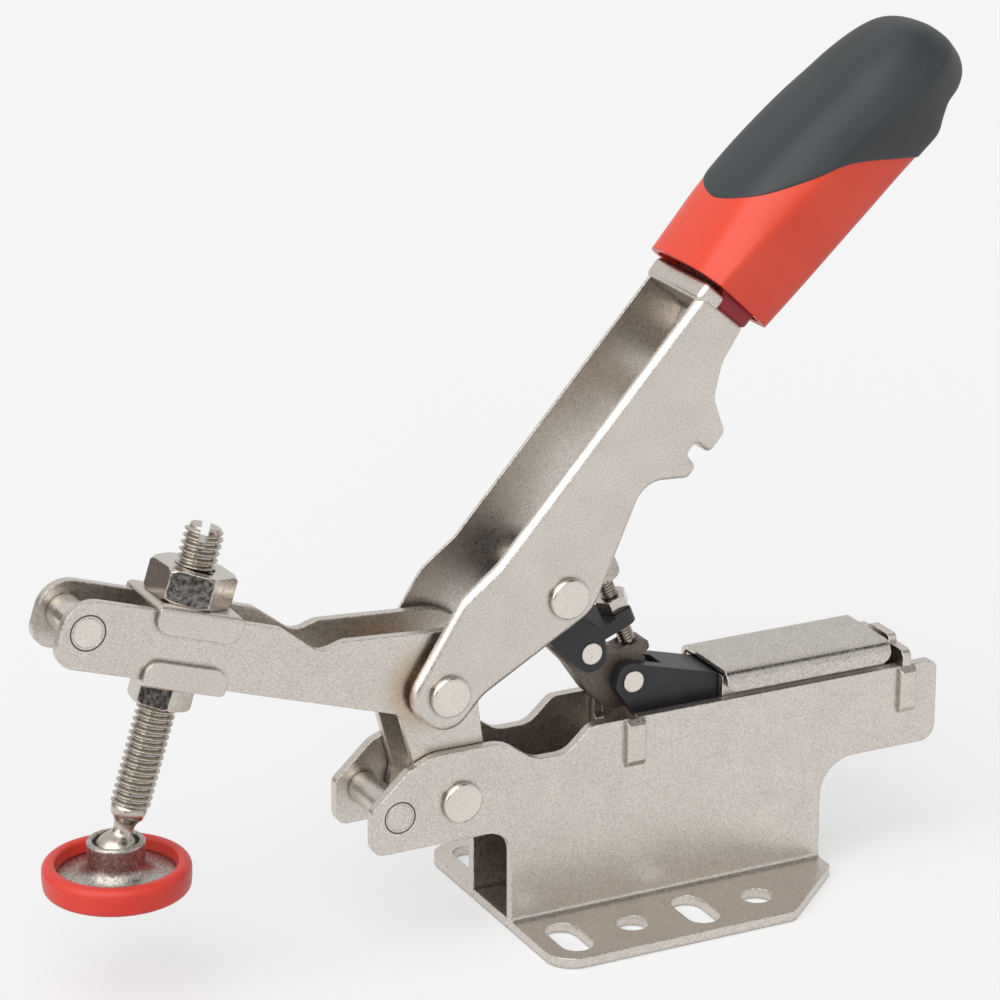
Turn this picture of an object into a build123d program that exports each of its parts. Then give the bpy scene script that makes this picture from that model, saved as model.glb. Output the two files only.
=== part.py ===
from build123d import *
import os
from math import cos, radians, sin, sqrt, tan

# Horizontal toggle clamp with a self-adjusting slide, millimetres.
# X runs back along the base towards the slide, Y across it, Z up.
# The origin is the centre of the eight fixing holes, on the underside of the base.
# The near side of the clamp is -Y. It stands part open: arm raised, handle up.

# ---------------------------------------------------------------- base
SHEET = 2.2                 # sheet of the two folded base sides and the floor
BASE_HALF_WIDTH = 31.5
BASE_FRONT = -29.4
BASE_REAR = 43.8
BASE_CORNER = 6.0           # radius of the two front corners
REAR_CUT_X = 18.2           # length and depth of the cut-off rear corners
REAR_CUT_Y = 16.3
BEND_RADIUS = 1.0
WEB_OUTER = 10.0            # outer faces of the two upright webs, from the middle
WEB_TOP = 42.4
WEB_NOSE_X = -60.6
WEB_NOSE_TOP = 32.6
WEB_NOSE_BOTTOM = 23.0
WEB_TAIL_X = 72.0
WEB_TAIL_BOTTOM = 24.2
SCALLOP_DEPTH = 5.0         # dip in the web's top edge, where the handle passes
HOLE_PITCH = 14.7
HOLE_LINE_Y = 21.4
HOLE_DIAMETER = 7.0
SLOT_LENGTH = 14.0

# ---------------------------------------------------------------- ribs and cross plates
FRONT_RIB_X = -1.1
REAR_RIB_X = 64.4
RIB_BOTTOM = 31.8
RIB_HEIGHT_OUT = 1.6        # how far a rib stands out from the web
FRONT_RIB_WIDTH = 4.4
REAR_RIB_WIDTH = 3.9
CROSS_PLATE = 2.0
CROSS_FIT = 0.05            # play of a cross plate in its groove, each side
CROSS_NOTCH = 36.6          # floor of the notch in the front cross plate
REAR_PLATE_TOP = 47.4

# ---------------------------------------------------------------- pivots, as X, Z
ARM_PIVOT = (-40.8, 31.5)
HANDLE_PIVOT = (-43.9, 55.4)
LINK_PIVOT = (-17.3, 71.8)
ROCKER_PIVOT = (-8.5, 56.0)
SLIDE_PIVOT = (0.85, 48.5)
NOSE_SPACER = (-54.4, 30.5)
ARM_RAISED = 17.7           # degrees that the arm stands above level
HANDLE_ANGLE = 48.0         # degrees of the handle's straight front edge
SLIDE_ANGLE = 15.0          # degrees that the slide runs downhill to the rear

# ---------------------------------------------------------------- fits and fasteners
RUNNING_FIT = 0.08          # radial play of a turning pin
SIDE_PLAY = 0.2             # play between plates that turn past each other
PIN_DIAMETER = 6.0
PIN_HEAD_DIAMETER = 8.5
PIN_HEAD_HEIGHT = 1.5
BUSH_WALL = 1.5
SMALL_PIN_DIAMETER = 4.0
SMALL_HEAD_DIAMETER = 4.6
NOSE_SPACER_DIAMETER = 6.8
NOSE_SPACER_END = 5.6

# ---------------------------------------------------------------- arm, level, from its pivot
ARM_SHEET = 2.0
ARM_TIP = -94.2
ARM_BOTTOM = 15.5
ARM_TOP = 29.5
ARM_END_RADIUS = 8.5
TIP_PIN = (-88.7, 23.1)
TIP_PIN_END = 5.9
TIP_PIN_BODY = 7.4
SADDLE_SHEET = 1.3
SADDLE_TAB_GAP = 0.05
UPPER_SADDLE = (-75.7, -57.5)
LOWER_SADDLE = (-75.5, -57.8)
SADDLE_TAB_DEPTH = 4.2

# ---------------------------------------------------------------- spindle and foot
SPINDLE_X = -66.8           # from the arm pivot, along the level arm
SPINDLE_DIAMETER = 8.0
SPINDLE_TOP = 45.8
THREAD_END = -13.3
NECK_DIAMETER = 3.8
BALL_RADIUS = 4.8
BALL_CENTRE = -22.8
BALL_PLAY = 0.08
THREAD_PLAY = 0.05
NUT_FLATS = 15.2
NUT_HEIGHT = 6.6
NUT_TURN = -24.0            # turn of the upper nut about the spindle
LOWER_NUT_FLATS = 11.2
LOWER_NUT_HEIGHT = 5.0
LOWER_NUT_TURN = -36.0
DRIVER_SLOT_WIDTH = 1.6
DRIVER_SLOT_DEPTH = 2.6
FOOT_RADIUS = 14.7
FOOT_HEIGHT = 4.1
FOOT_LIP_RADIUS = 12.0
FOOT_PAD_FLOOR = 1.6
FOOT_DISC = 1.4
FOOT_DISC_RADIUS = 12.6
FOOT_BALL_HEIGHT = 7.1      # ball centre above the underside of the foot
FOOT_BOSS_TOP = 10.4
FOOT_BOSS_RADIUS = 5.7

# ---------------------------------------------------------------- handle, from its pivot
HANDLE_SHEET = 2.0
HANDLE_INNER = 9.2          # inner faces of the two handle flanges, from the middle
HANDLE_FRONT = 8.6
HANDLE_END = 94.8
HANDLE_BEND = 1.9
GRIP_START = 97.5
GRIP_END = 168.3
GRIP_LIP = GRIP_END - 18.3  # where the palm end begins
TANG_END = GRIP_LIP
TANG_HALF_WIDTH = 7.0
COLLAR_HALF_WIDTH = 9.4
GRIP_CORE_END = GRIP_END - 10.3
WASHER_DIAMETER = 12.0

# ---------------------------------------------------------------- link and slide
FORK_HALF_WIDTH = 4.8
FORK_WALL = 2.1
ROCKER_HALF_WIDTH = 2.5
SCREW_DIAMETER = 3.5
SCREW_LEAN = 22.0           # degrees that the adjusting screw leans forward
SCREW_TIP = (2.4, 55.4)
SCREW_LENGTH = 19.8
SCREW_HEAD_DIAMETER = 8.0
SCREW_HEAD_HEIGHT = 3.4
SCREW_NUT_FLATS = 6.0
SCREW_NUT_HEIGHT = 3.1
LUG_SHEET = 2.7
LUG_ROOT = 6.4
LUG_END = 2.3               # how far the lug goes past the screw
LUG_REACH = 5.8             # from the screw's tip up to the lug's underside
SLIDE_EAR_RADIUS = 3.7
SLIDE_DEPTH = 4.2           # of the bar below its pivot line
SLIDE_LENGTH = 44.0
SLIDE_SLOT = 7.6
CHANNEL_SHEET = 1.8
CHANNEL_PLAY = 0.3
SLIDE_FLOOR_PLAY = 0.9
COVER_FRONT = 20.8
COVER_TO_REAR_RIB = 3.9      # from the cover's rear end to the middle of the rear rib
COVER_TOP = 48.4
COVER_SHEET = 1.0
COVER_BEND = 2.6
COVER_SKIRT_BOTTOM = 43.8
SPRING_DIAMETER = 5.0
SPRING_WIRE = 0.9
SPRING_BORE = 6.2
SPRING_BORE_DEPTH = 22.5
SLIDE_TRAVEL = 9.9          # how far the bar goes back as the clamp locks
SPRING_TURNS = 11

# ---------------------------------------------------------------- worked out from the above
WEB_INNER = WEB_OUTER - SHEET
COVER_REAR = REAR_RIB_X - COVER_TO_REAR_RIB
ARM_OUTER = WEB_INNER - SIDE_PLAY
ARM_INNER = ARM_OUTER - ARM_SHEET
HANDLE_OUTER = HANDLE_INNER + HANDLE_SHEET
PIN_HOLE = PIN_DIAMETER / 2 + RUNNING_FIT
BUSH_RADIUS = PIN_HOLE + BUSH_WALL
FORK_INNER = FORK_HALF_WIDTH - FORK_WALL
CHANNEL_OUTER = WEB_INNER - 0.1
CHANNEL_INNER = CHANNEL_OUTER - CHANNEL_SHEET
SLIDE_HALF_WIDTH = CHANNEL_INNER - CHANNEL_PLAY
GROOVE_FACE = WEB_OUTER + 0.2


def level_direction(degrees):
    """Unit X and Z of a line that points the given angle above +X."""
    return (cos(radians(degrees)), 0, sin(radians(degrees)))


def side_plane(origin, degrees=0.0):
    """A drawing plane seen from the near side, its first axis turned by the angle."""
    return Plane(origin=(origin[0], 0, origin[1]), x_dir=level_direction(degrees), z_dir=(0, -1, 0))


SIDE = side_plane((0, 0))
ARM = side_plane(ARM_PIVOT, -ARM_RAISED)
HANDLE = side_plane(HANDLE_PIVOT, HANDLE_ANGLE)
SLIDE = side_plane(SLIDE_PIVOT, -SLIDE_ANGLE)
SCREW = side_plane(SCREW_TIP, SCREW_LEAN)


def outline(corners):
    """A closed face from corners given as x, y and the radius that rounds each of them.

    Where two neighbours leave no room, the radius is made smaller.
    """
    points = [Vector(x, y) for x, y, _ in corners]
    arcs = []
    for i, (_, _, radius) in enumerate(corners):
        here = points[i]
        back = (points[i - 1] - here).normalized()
        ahead = (points[(i + 1) % len(points)] - here).normalized()
        half = radians(back.get_angle(ahead)) / 2
        room = 0.495 * min((points[i - 1] - here).length, (points[(i + 1) % len(points)] - here).length)
        cut = min(radius / tan(half), room)
        radius = cut * tan(half)
        middle = here + (back + ahead).normalized() * (radius / sin(half) - radius)
        arcs.append((here + back * cut, middle, here + ahead * cut, radius))
    edges = []
    for i, (start, middle, end, radius) in enumerate(arcs):
        if radius > 0:
            edges.append(ThreePointArc(start, middle, end))
        edges.append(Line(end, arcs[(i + 1) % len(arcs)][0]))
    return make_face(edges)


def across(plane, face, y_from, y_to):
    """The face, drawn on a side plane, carried from one Y to the other."""
    return extrude(plane.offset(-y_to) * face, amount=y_to - y_from)


def both_sides(near_part):
    """The part and its mirror image on the far side."""
    return near_part, mirror(near_part, Plane.XZ)


def rod(plane, centre, radius, y_from, y_to):
    """A round bar across the clamp at a point of a side plane."""
    return across(plane, Pos(*centre) * Circle(radius), y_from, y_to)


def headed_pin(point, half_length, diameter, head_diameter, head_height):
    """A rivet across the clamp with a low domed head on each end."""
    plane = side_plane(point)
    pin = rod(plane, (0, 0), diameter / 2, -half_length, half_length)
    for side in (-1, 1):
        ends = sorted((side * half_length, side * (half_length + head_height)))
        head = rod(plane, (0, 0), head_diameter / 2, *ends)
        rim = head.edges().filter_by(GeomType.CIRCLE).sort_by(Axis.Y)[0 if side < 0 else -1]
        pin += fillet(rim, head_height * 0.45)
    return pin


def hexagon(flats):
    return RegularPolygon(flats / 2, 6, major_radius=False)


# ================================================================ base

def web_outline():
    dip = WEB_TOP - SCALLOP_DEPTH
    return outline([
        (BASE_FRONT, 0, 0),
        (BASE_REAR, 0, 0),
        (BASE_REAR, WEB_TAIL_BOTTOM, 8.0),
        (WEB_TAIL_X, WEB_TAIL_BOTTOM, 3.5),
        (WEB_TAIL_X, WEB_TOP, 2.0),
        (-11.0, WEB_TOP, 3.0),
        (-16.5, dip, 5.0),
        (-24.0, dip, 6.0),
        (-31.0, WEB_TOP, 9.0),
        (-46.5, WEB_TOP, 8.0),
        (-52.5, WEB_TOP - 2.4, 3.0),
        (WEB_NOSE_X, WEB_NOSE_TOP, 2.0),
        (WEB_NOSE_X, WEB_NOSE_BOTTOM, 2.5),
        (BASE_FRONT, WEB_NOSE_BOTTOM, 5.5),
    ])


def flange_outline():
    edge = -BASE_HALF_WIDTH
    return outline([
        (BASE_FRONT, -WEB_INNER, 0),
        (BASE_FRONT, edge, BASE_CORNER),
        (BASE_REAR - REAR_CUT_X, edge, 3.0),
        (BASE_REAR, edge + REAR_CUT_Y, 2.0),
        (BASE_REAR, -WEB_INNER, 0),
    ])


def rib(centre_x, width):
    """A pressed-out rib on the near web, its top sloping away."""
    section = Plane.YZ * make_face(Polyline(
        (-WEB_OUTER + 0.5, RIB_BOTTOM),
        (-WEB_OUTER, RIB_BOTTOM),
        (-WEB_OUTER - RIB_HEIGHT_OUT, RIB_BOTTOM + RIB_HEIGHT_OUT),
        (-WEB_OUTER - RIB_HEIGHT_OUT, WEB_TOP - 1.2),
        (-WEB_OUTER, WEB_TOP),
        (-WEB_OUTER + 0.5, WEB_TOP),
        close=True,
    ))
    bar = Pos(centre_x - width / 2, 0, 0) * extrude(section, amount=width)
    long_edges = bar.edges().filter_by(Axis.Z).group_by(Axis.Y)[0]
    return fillet(long_edges, 0.9)


def groove(centre_x):
    """The slot inside a rib that takes the end of a cross plate."""
    width = CROSS_PLATE + 2 * CROSS_FIT
    box = Box(width, GROOVE_FACE - WEB_INNER + 1, WEB_TOP, align=(Align.CENTER, Align.MIN, Align.MIN))
    return Pos(centre_x, -GROOVE_FACE, RIB_BOTTOM + 1.0) * box


def make_base_side():
    web = across(SIDE, web_outline(), -WEB_OUTER, -WEB_INNER)
    flange = extrude(flange_outline(), amount=SHEET)
    side = web + flange
    inner = [e for e in side.edges().filter_by(Axis.X)
             if abs(e.center().Y + WEB_OUTER) < 0.01 and abs(e.center().Z - SHEET) < 0.01]
    outer = [e for e in side.edges().filter_by(Axis.X)
             if abs(e.center().Y + WEB_INNER) < 0.01 and abs(e.center().Z) < 0.01]
    side = fillet(inner + outer, BEND_RADIUS)
    for centre_x, width in ((FRONT_RIB_X, FRONT_RIB_WIDTH), (REAR_RIB_X, REAR_RIB_WIDTH)):
        side += rib(centre_x, width)
        side -= groove(centre_x)
    for step, slotted in enumerate((True, False, True, False)):
        x = (step - 1.5) * HOLE_PITCH
        shape = SlotOverall(SLOT_LENGTH, HOLE_DIAMETER, rotation=90) if slotted else Circle(HOLE_DIAMETER / 2)
        side -= Pos(x, -HOLE_LINE_Y, -1) * extrude(shape, amount=SHEET + 2)
    side -= rod(SIDE, ARM_PIVOT, PIN_DIAMETER / 2, -WEB_OUTER - 1, 0)
    side -= rod(SIDE, NOSE_SPACER, NOSE_SPACER_END / 2, -WEB_OUTER - 1, 0)
    return side


def make_floor():
    return Pos((BASE_FRONT + BASE_REAR) / 2, 0, SHEET / 2) * Box(BASE_REAR - BASE_FRONT, 2 * WEB_INNER, SHEET)


def make_nose_spacer():
    body = rod(SIDE, NOSE_SPACER, NOSE_SPACER_DIAMETER / 2, -WEB_INNER, WEB_INNER)
    return body + rod(SIDE, NOSE_SPACER, NOSE_SPACER_END / 2, -WEB_OUTER, WEB_OUTER)


def make_front_cross_plate():
    """Holds the webs apart, and is notched deep so that the folding link can swing down into it."""
    low = RIB_BOTTOM + 1.0
    top = WEB_TOP - 1.4
    wing = FORK_HALF_WIDTH + 1.2
    face = outline([
        (-GROOVE_FACE, low, 0),
        (GROOVE_FACE, low, 0),
        (GROOVE_FACE, top, 0),
        (wing, top, 0.8),
        (wing, CROSS_NOTCH, 1.5),
        (-wing, CROSS_NOTCH, 1.5),
        (-wing, top, 0.8),
        (-GROOVE_FACE, top, 0),
    ])
    return Pos(FRONT_RIB_X, 0, 0) * extrude(Plane.YZ * face, amount=CROSS_PLATE / 2, both=True)


def make_rear_cross_plate():
    """Closes the slide's channel, takes the push of the spring and keeps the cover in place."""
    low = RIB_BOTTOM + 1.0
    shoulder = WEB_TOP + 3.4
    face = outline([
        (-GROOVE_FACE, low, 0),
        (-WEB_INNER + 0.2, low, 0),
        (-WEB_INNER + 0.2, low - 4.0, 1.5),
        (WEB_INNER - 0.2, low - 4.0, 1.5),
        (WEB_INNER - 0.2, low, 0),
        (GROOVE_FACE, low, 0),
        (GROOVE_FACE, shoulder, 1.8),
        (4.2, shoulder, 0.8),
        (4.0, REAR_PLATE_TOP, 2.6),
        (-4.0, REAR_PLATE_TOP, 2.6),
        (-4.2, shoulder, 0.8),
        (-GROOVE_FACE, shoulder, 1.8),
    ])
    return Pos(REAR_RIB_X, 0, 0) * extrude(Plane.YZ * face, amount=CROSS_PLATE / 2, both=True)


def make_slide_cover():
    height = COVER_TOP - COVER_SKIRT_BOTTOM

    def hood(half_width, top, bend):
        low = COVER_SKIRT_BOTTOM - 5
        return outline([(-half_width, low, 0), (half_width, low, 0), (half_width, top, bend), (-half_width, top, bend)])

    shell = hood(WEB_OUTER, COVER_TOP, COVER_BEND)
    shell -= hood(WEB_OUTER - COVER_SHEET, COVER_TOP - COVER_SHEET, COVER_BEND - COVER_SHEET)
    cover = extrude(Plane.YZ.offset(COVER_FRONT) * shell, amount=COVER_REAR - COVER_FRONT)
    trim = outline([
        (COVER_FRONT, COVER_SKIRT_BOTTOM, height * 0.5),
        (COVER_REAR, COVER_SKIRT_BOTTOM, height * 0.5),
        (COVER_REAR, COVER_TOP + 1, 0),
        (COVER_FRONT, COVER_TOP + 1, 0),
    ])
    return cover & across(SIDE, trim, -WEB_OUTER - 1, WEB_OUTER + 1)


def slide_line(x):
    """Z of the slide's pivot line at an X, behind the slide pivot."""
    return SLIDE_PIVOT[1] - (x - SLIDE_PIVOT[0]) * tan(radians(SLIDE_ANGLE))


def make_slide_channel():
    """A U of thick sheet between the webs: its floor runs downhill under the bar."""
    rear = REAR_RIB_X - CROSS_PLATE / 2
    drop = (SLIDE_DEPTH + SLIDE_FLOOR_PLAY) / cos(radians(SLIDE_ANGLE))
    thick = CHANNEL_SHEET * 0.7 / cos(radians(SLIDE_ANGLE))
    floor_front = slide_line(COVER_FRONT) - drop
    floor_rear = slide_line(rear) - drop
    top = COVER_TOP - COVER_SHEET - 0.6
    legs = make_face(Polyline(
        (COVER_FRONT, floor_front - thick), (rear, floor_rear - thick), (rear, WEB_TOP - 1.5),
        (COVER_REAR, WEB_TOP - 1.5), (COVER_REAR, top), (COVER_FRONT, top), close=True))
    space = make_face(Polyline(
        (COVER_FRONT - 1, slide_line(COVER_FRONT - 1) - drop), (rear + 1, slide_line(rear + 1) - drop),
        (rear + 1, top + 1), (COVER_FRONT - 1, top + 1), close=True))
    channel = across(SIDE, legs, -CHANNEL_OUTER, CHANNEL_OUTER)
    return channel - across(SIDE, space, -CHANNEL_INNER, CHANNEL_INNER)


# ================================================================ slide

def make_slide_bar():
    """The black bar with a forked nose that takes the rocker between its ears."""
    ear = SLIDE_EAR_RADIUS
    profile = outline([
        (-ear, ear, ear * 0.98),
        (SLIDE_LENGTH, ear - 0.1, 0.8),
        (SLIDE_LENGTH, -SLIDE_DEPTH, 0.8),
        (12.0, -SLIDE_DEPTH, 3.0),
        (10.5, -8.0, 1.0),
        (3.4, -8.0, 1.0),
        (-ear, -ear * 0.55, ear * 0.6),
    ])
    bar = across(SLIDE, profile, -SLIDE_HALF_WIDTH, SLIDE_HALF_WIDTH)
    gap = ROCKER_HALF_WIDTH + SIDE_PLAY
    slot = Pos(SLIDE_SLOT / 2 - 10, 0) * Rectangle(SLIDE_SLOT + 20, 40)
    bar -= across(SLIDE, slot, -gap, gap)
    bar -= rod(SLIDE, (0, 0), SMALL_PIN_DIAMETER / 2, -SLIDE_HALF_WIDTH - 1, SLIDE_HALF_WIDTH + 1)
    bore = Plane(SLIDE.from_local_coords((SLIDE_LENGTH + 1, (ear - SLIDE_DEPTH) / 2, 0)), z_dir=-SLIDE.x_dir)
    return bar - extrude(bore * Circle(SPRING_BORE / 2), amount=SPRING_BORE_DEPTH + 1)


def make_slide_spring():
    """A compression spring from the bottom of the bar's bore to the rear cross plate."""
    centre = (SLIDE_EAR_RADIUS - SLIDE_DEPTH) / 2
    start = SLIDE_LENGTH - SPRING_BORE_DEPTH + SLIDE_TRAVEL + SPRING_WIRE
    plate_at = (REAR_RIB_X - CROSS_PLATE / 2 - SLIDE_PIVOT[0]) / cos(radians(SLIDE_ANGLE))
    length = plate_at - start - SPRING_WIRE / 2 - 1.4
    path = Helix(pitch=length / SPRING_TURNS, height=length, radius=(SPRING_DIAMETER - SPRING_WIRE) / 2)
    wire = sweep(Plane(path @ 0, z_dir=path % 0) * Circle(SPRING_WIRE / 2), path=path)
    seat = Plane(SLIDE.from_local_coords((start, centre, 0)), z_dir=SLIDE.x_dir)
    return seat.location * wire


# ================================================================ link

def make_link_fork():
    """Two cheeks joined by a lug, bent square to the adjusting screw that it holds."""
    up_x = LINK_PIVOT[0] - ROCKER_PIVOT[0]
    up_z = LINK_PIVOT[1] - ROCKER_PIVOT[1]
    plane = side_plane(ROCKER_PIVOT)
    profile = outline([
        (-8.9, 2.9, 0.8),
        (-3.6, -2.2, 3.0),
        (-0.5, -4.6, 3.4),
        (3.6, -2.8, 3.0),
        (3.0, 4.0, 1.5),
        (-1.2, 7.4, 2.0),
        (up_x + 5.8, up_z - 2.0, 4.0),
        (up_x + 4.6, up_z + 6.0, 4.6),
        (up_x - 6.0, up_z + 5.2, 4.6),
        (up_x - 6.0, up_z - 4.0, 6.0),
    ])
    fork = across(plane, profile, -FORK_HALF_WIDTH, FORK_HALF_WIDTH)
    fork -= across(plane, Circle(60), -FORK_INNER, FORK_INNER)
    lug = across(SCREW, outline([
        (LUG_END, LUG_REACH, 0),
        (LUG_END, LUG_REACH + LUG_SHEET, 0),
        (-LUG_ROOT, LUG_REACH + LUG_SHEET, 0.5),
        (-LUG_ROOT, LUG_REACH, 0.5),
    ]), -FORK_HALF_WIDTH, FORK_HALF_WIDTH)
    tip = [e for e in lug.edges() if abs(SCREW.to_local_coords(e.center()).X - LUG_END) < 0.01
           and e.length < LUG_SHEET + 0.01 and abs(abs(e.center().Y) - FORK_HALF_WIDTH) < 0.01]
    fork += fillet(tip, 2.2)
    seat = Plane(SCREW.from_local_coords((0, LUG_REACH - 3, 0)), x_dir=SCREW.x_dir, z_dir=SCREW.y_dir)
    fork -= extrude(seat * Circle(SCREW_DIAMETER / 2), amount=10)
    fork -= rod(SIDE, LINK_PIVOT, PIN_HOLE, -FORK_HALF_WIDTH - 1, FORK_HALF_WIDTH + 1)
    fork -= rod(SIDE, ROCKER_PIVOT, SMALL_PIN_DIAMETER / 2, -FORK_HALF_WIDTH - 1, FORK_HALF_WIDTH + 1)
    return fork


def make_link_rocker():
    """A curved steel rocker: eye on the slide, pivot on the fork, heel under the screw."""
    plane = side_plane(SLIDE_PIVOT)
    eye = 7.0
    profile = outline([
        (eye * 0.72, -eye * 0.35, 3.0),
        (eye * 0.62, 3.6, 1.0),
        (3.5, 4.4, 0.5),
        (5.4, 5.4, 0.8),
        (5.0, 7.2, 0.8),
        (2.6, 7.9, 0.6),
        (-1.8, 6.2, 1.0),
        (-4.8, 7.9, 1.0),
        (-7.8, 10.5, 2.0),
        (-17.0, 11.3, 0.8),
        (-18.0, 9.6, 0.8),
        (-13.2, 4.4, 6.0),
        (-8.6, -2.4, 5.0),
        (-4.4, -eye * 0.93, 4.0),
        (3.4, -eye * 0.93, 4.0),
    ])
    rocker = across(plane, profile, -ROCKER_HALF_WIDTH, ROCKER_HALF_WIDTH)
    rocker -= rod(plane, (0, 0), SMALL_PIN_DIAMETER / 2 + RUNNING_FIT, -ROCKER_HALF_WIDTH - 1, ROCKER_HALF_WIDTH + 1)
    rocker -= rod(SIDE, ROCKER_PIVOT, SMALL_PIN_DIAMETER / 2, -ROCKER_HALF_WIDTH - 1, ROCKER_HALF_WIDTH + 1)
    seat = Plane(SCREW.origin, x_dir=SCREW.x_dir, z_dir=SCREW.y_dir)
    return rocker - extrude(seat * Circle(SCREW_DIAMETER * 0.75), amount=6)


def make_adjusting_screw():
    """A screw with a knurled socket head; its point bears on the heel of the rocker."""
    seat = Plane(SCREW.origin, x_dir=SCREW.x_dir, z_dir=SCREW.y_dir)
    shank = extrude(seat * Circle(SCREW_DIAMETER / 2), amount=SCREW_LENGTH - 0.5)
    shank = chamfer(shank.edges().filter_by(GeomType.CIRCLE), 0.4)
    head = extrude(seat.offset(SCREW_LENGTH - SCREW_HEAD_HEIGHT) * Circle(SCREW_HEAD_DIAMETER / 2), amount=SCREW_HEAD_HEIGHT)
    head = chamfer(head.edges().filter_by(GeomType.CIRCLE), 0.5)
    socket = extrude(seat.offset(SCREW_LENGTH - 2.0) * hexagon(4.0), amount=3)
    return shank + head - socket


def make_adjusting_nut():
    seat = Plane(SCREW.from_local_coords((0, LUG_REACH + LUG_SHEET, 0)), x_dir=SCREW.x_dir, z_dir=SCREW.y_dir)
    return hex_nut(seat, SCREW_NUT_FLATS, SCREW_NUT_HEIGHT, SCREW_DIAMETER / 2)


def hex_nut(seat, flats, height, bore, turn=0.0):
    """A hex nut with both faces chamfered round, standing on a plane."""
    body = extrude(seat * Rot(0, 0, turn) * hexagon(flats), amount=height)
    corner = flats / sqrt(3)
    round_off = (corner - flats / 2) * 0.6
    blank = extrude(seat * Circle(corner), amount=height)
    blank = chamfer(blank.edges().filter_by(GeomType.CIRCLE), round_off)
    return (body & blank) - extrude(seat.offset(-1) * Circle(bore), amount=height + 2)


# ================================================================ arm

def make_arm_plate():
    end = ARM_END_RADIUS
    profile = outline([
        (ARM_TIP, ARM_BOTTOM, 4.0),
        (ARM_TIP, ARM_TOP, 6.5),
        (-48.8, ARM_TOP, 4.0),
        (-39.0, ARM_TOP - 3.7, 4.0),
        (-34.5, ARM_TOP - 0.7, 4.0),
        (-9.5, ARM_TOP + 5.4, 9.0),
        (1.5, ARM_TOP + 4.0, 9.0),
        (-1.8, 21.5, 6.0),
        (end + 0.2, -1.0, 3.0),
        (end * 0.9, -end, end * 0.75),
        (-end * 0.9, -end, end * 0.75),
        (-end - 0.2, 1.0, 3.0),
        (-17.8, ARM_BOTTOM, 3.0),
    ])
    plate = across(ARM, profile, -ARM_OUTER, -ARM_INNER)
    plate -= rod(ARM, (0, 0), BUSH_RADIUS, -ARM_OUTER - 1, 0)
    plate -= rod(side_plane(HANDLE_PIVOT), (0, 0), BUSH_RADIUS, -ARM_OUTER - 1, 0)
    return plate - rod(ARM, TIP_PIN, TIP_PIN_END / 2, -ARM_OUTER - 1, 0)


def make_bush(point):
    ring = Circle(BUSH_RADIUS) - Circle(PIN_HOLE)
    return across(side_plane(point), ring, -ARM_OUTER, ARM_OUTER)


def make_tip_spacer():
    body = rod(ARM, TIP_PIN, TIP_PIN_BODY / 2, -ARM_INNER, ARM_INNER)
    return body + rod(ARM, TIP_PIN, TIP_PIN_END / 2, -ARM_OUTER, ARM_OUTER)


def make_saddle(span, face_level, up):
    """A strap across the arm with a tab turned over each plate; up is +1 or -1."""
    front, rear = span
    middle = (front + rear) / 2
    outer = ARM_OUTER + SADDLE_TAB_GAP + SADDLE_SHEET
    strap_to = face_level + up * SADDLE_SHEET
    tab_to = face_level - up * SADDLE_TAB_DEPTH
    section = Rectangle(2 * outer, abs(strap_to - tab_to))
    hollow = Rectangle(2 * (ARM_OUTER + SADDLE_TAB_GAP), abs(face_level - tab_to) + 2)
    profile = Pos(0, (strap_to + tab_to) / 2) * section - Pos(0, (face_level + tab_to) / 2 - up) * hollow
    lengthwise = Plane(ARM.from_local_coords((front, 0, 0)), x_dir=(0, 1, 0), z_dir=ARM.x_dir)
    strap = extrude(lengthwise * (profile if lengthwise.y_dir.dot(ARM.y_dir) > 0 else mirror(profile, Plane.XZ)),
                    amount=rear - front)
    bends = [e for e in strap.edges() if e.length > (rear - front) * 0.9
             and abs(ARM.to_local_coords(e.center()).Y - strap_to) < 0.01]
    strap = fillet(bends, SADDLE_SHEET * 0.9)
    trim = outline([
        (front, tab_to, 3.0), (rear, tab_to, 3.0), (rear, strap_to + up * 0.5, 0), (front, strap_to + up * 0.5, 0),
    ])
    strap = strap & across(ARM, trim, -outer - 1, outer + 1)
    hole = Plane(ARM.from_local_coords((SPINDLE_X, face_level - 3, 0)), x_dir=ARM.x_dir, z_dir=ARM.y_dir)
    return strap - extrude(hole * Circle(SPINDLE_DIAMETER / 2 + 0.3), amount=6)


def spindle_plane(height):
    """A plane square to the spindle, at a height from the arm pivot's level."""
    return Plane(ARM.from_local_coords((SPINDLE_X, height, 0)), x_dir=ARM.x_dir, z_dir=ARM.y_dir)


def make_upper_nut():
    seat = spindle_plane(ARM_TOP + SADDLE_SHEET)
    return hex_nut(seat, NUT_FLATS, NUT_HEIGHT, SPINDLE_DIAMETER / 2 + THREAD_PLAY, NUT_TURN)


def make_lower_nut():
    seat = spindle_plane(ARM_BOTTOM - SADDLE_SHEET - LOWER_NUT_HEIGHT)
    return hex_nut(seat, LOWER_NUT_FLATS, LOWER_NUT_HEIGHT, SPINDLE_DIAMETER / 2 + THREAD_PLAY, LOWER_NUT_TURN)


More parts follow.
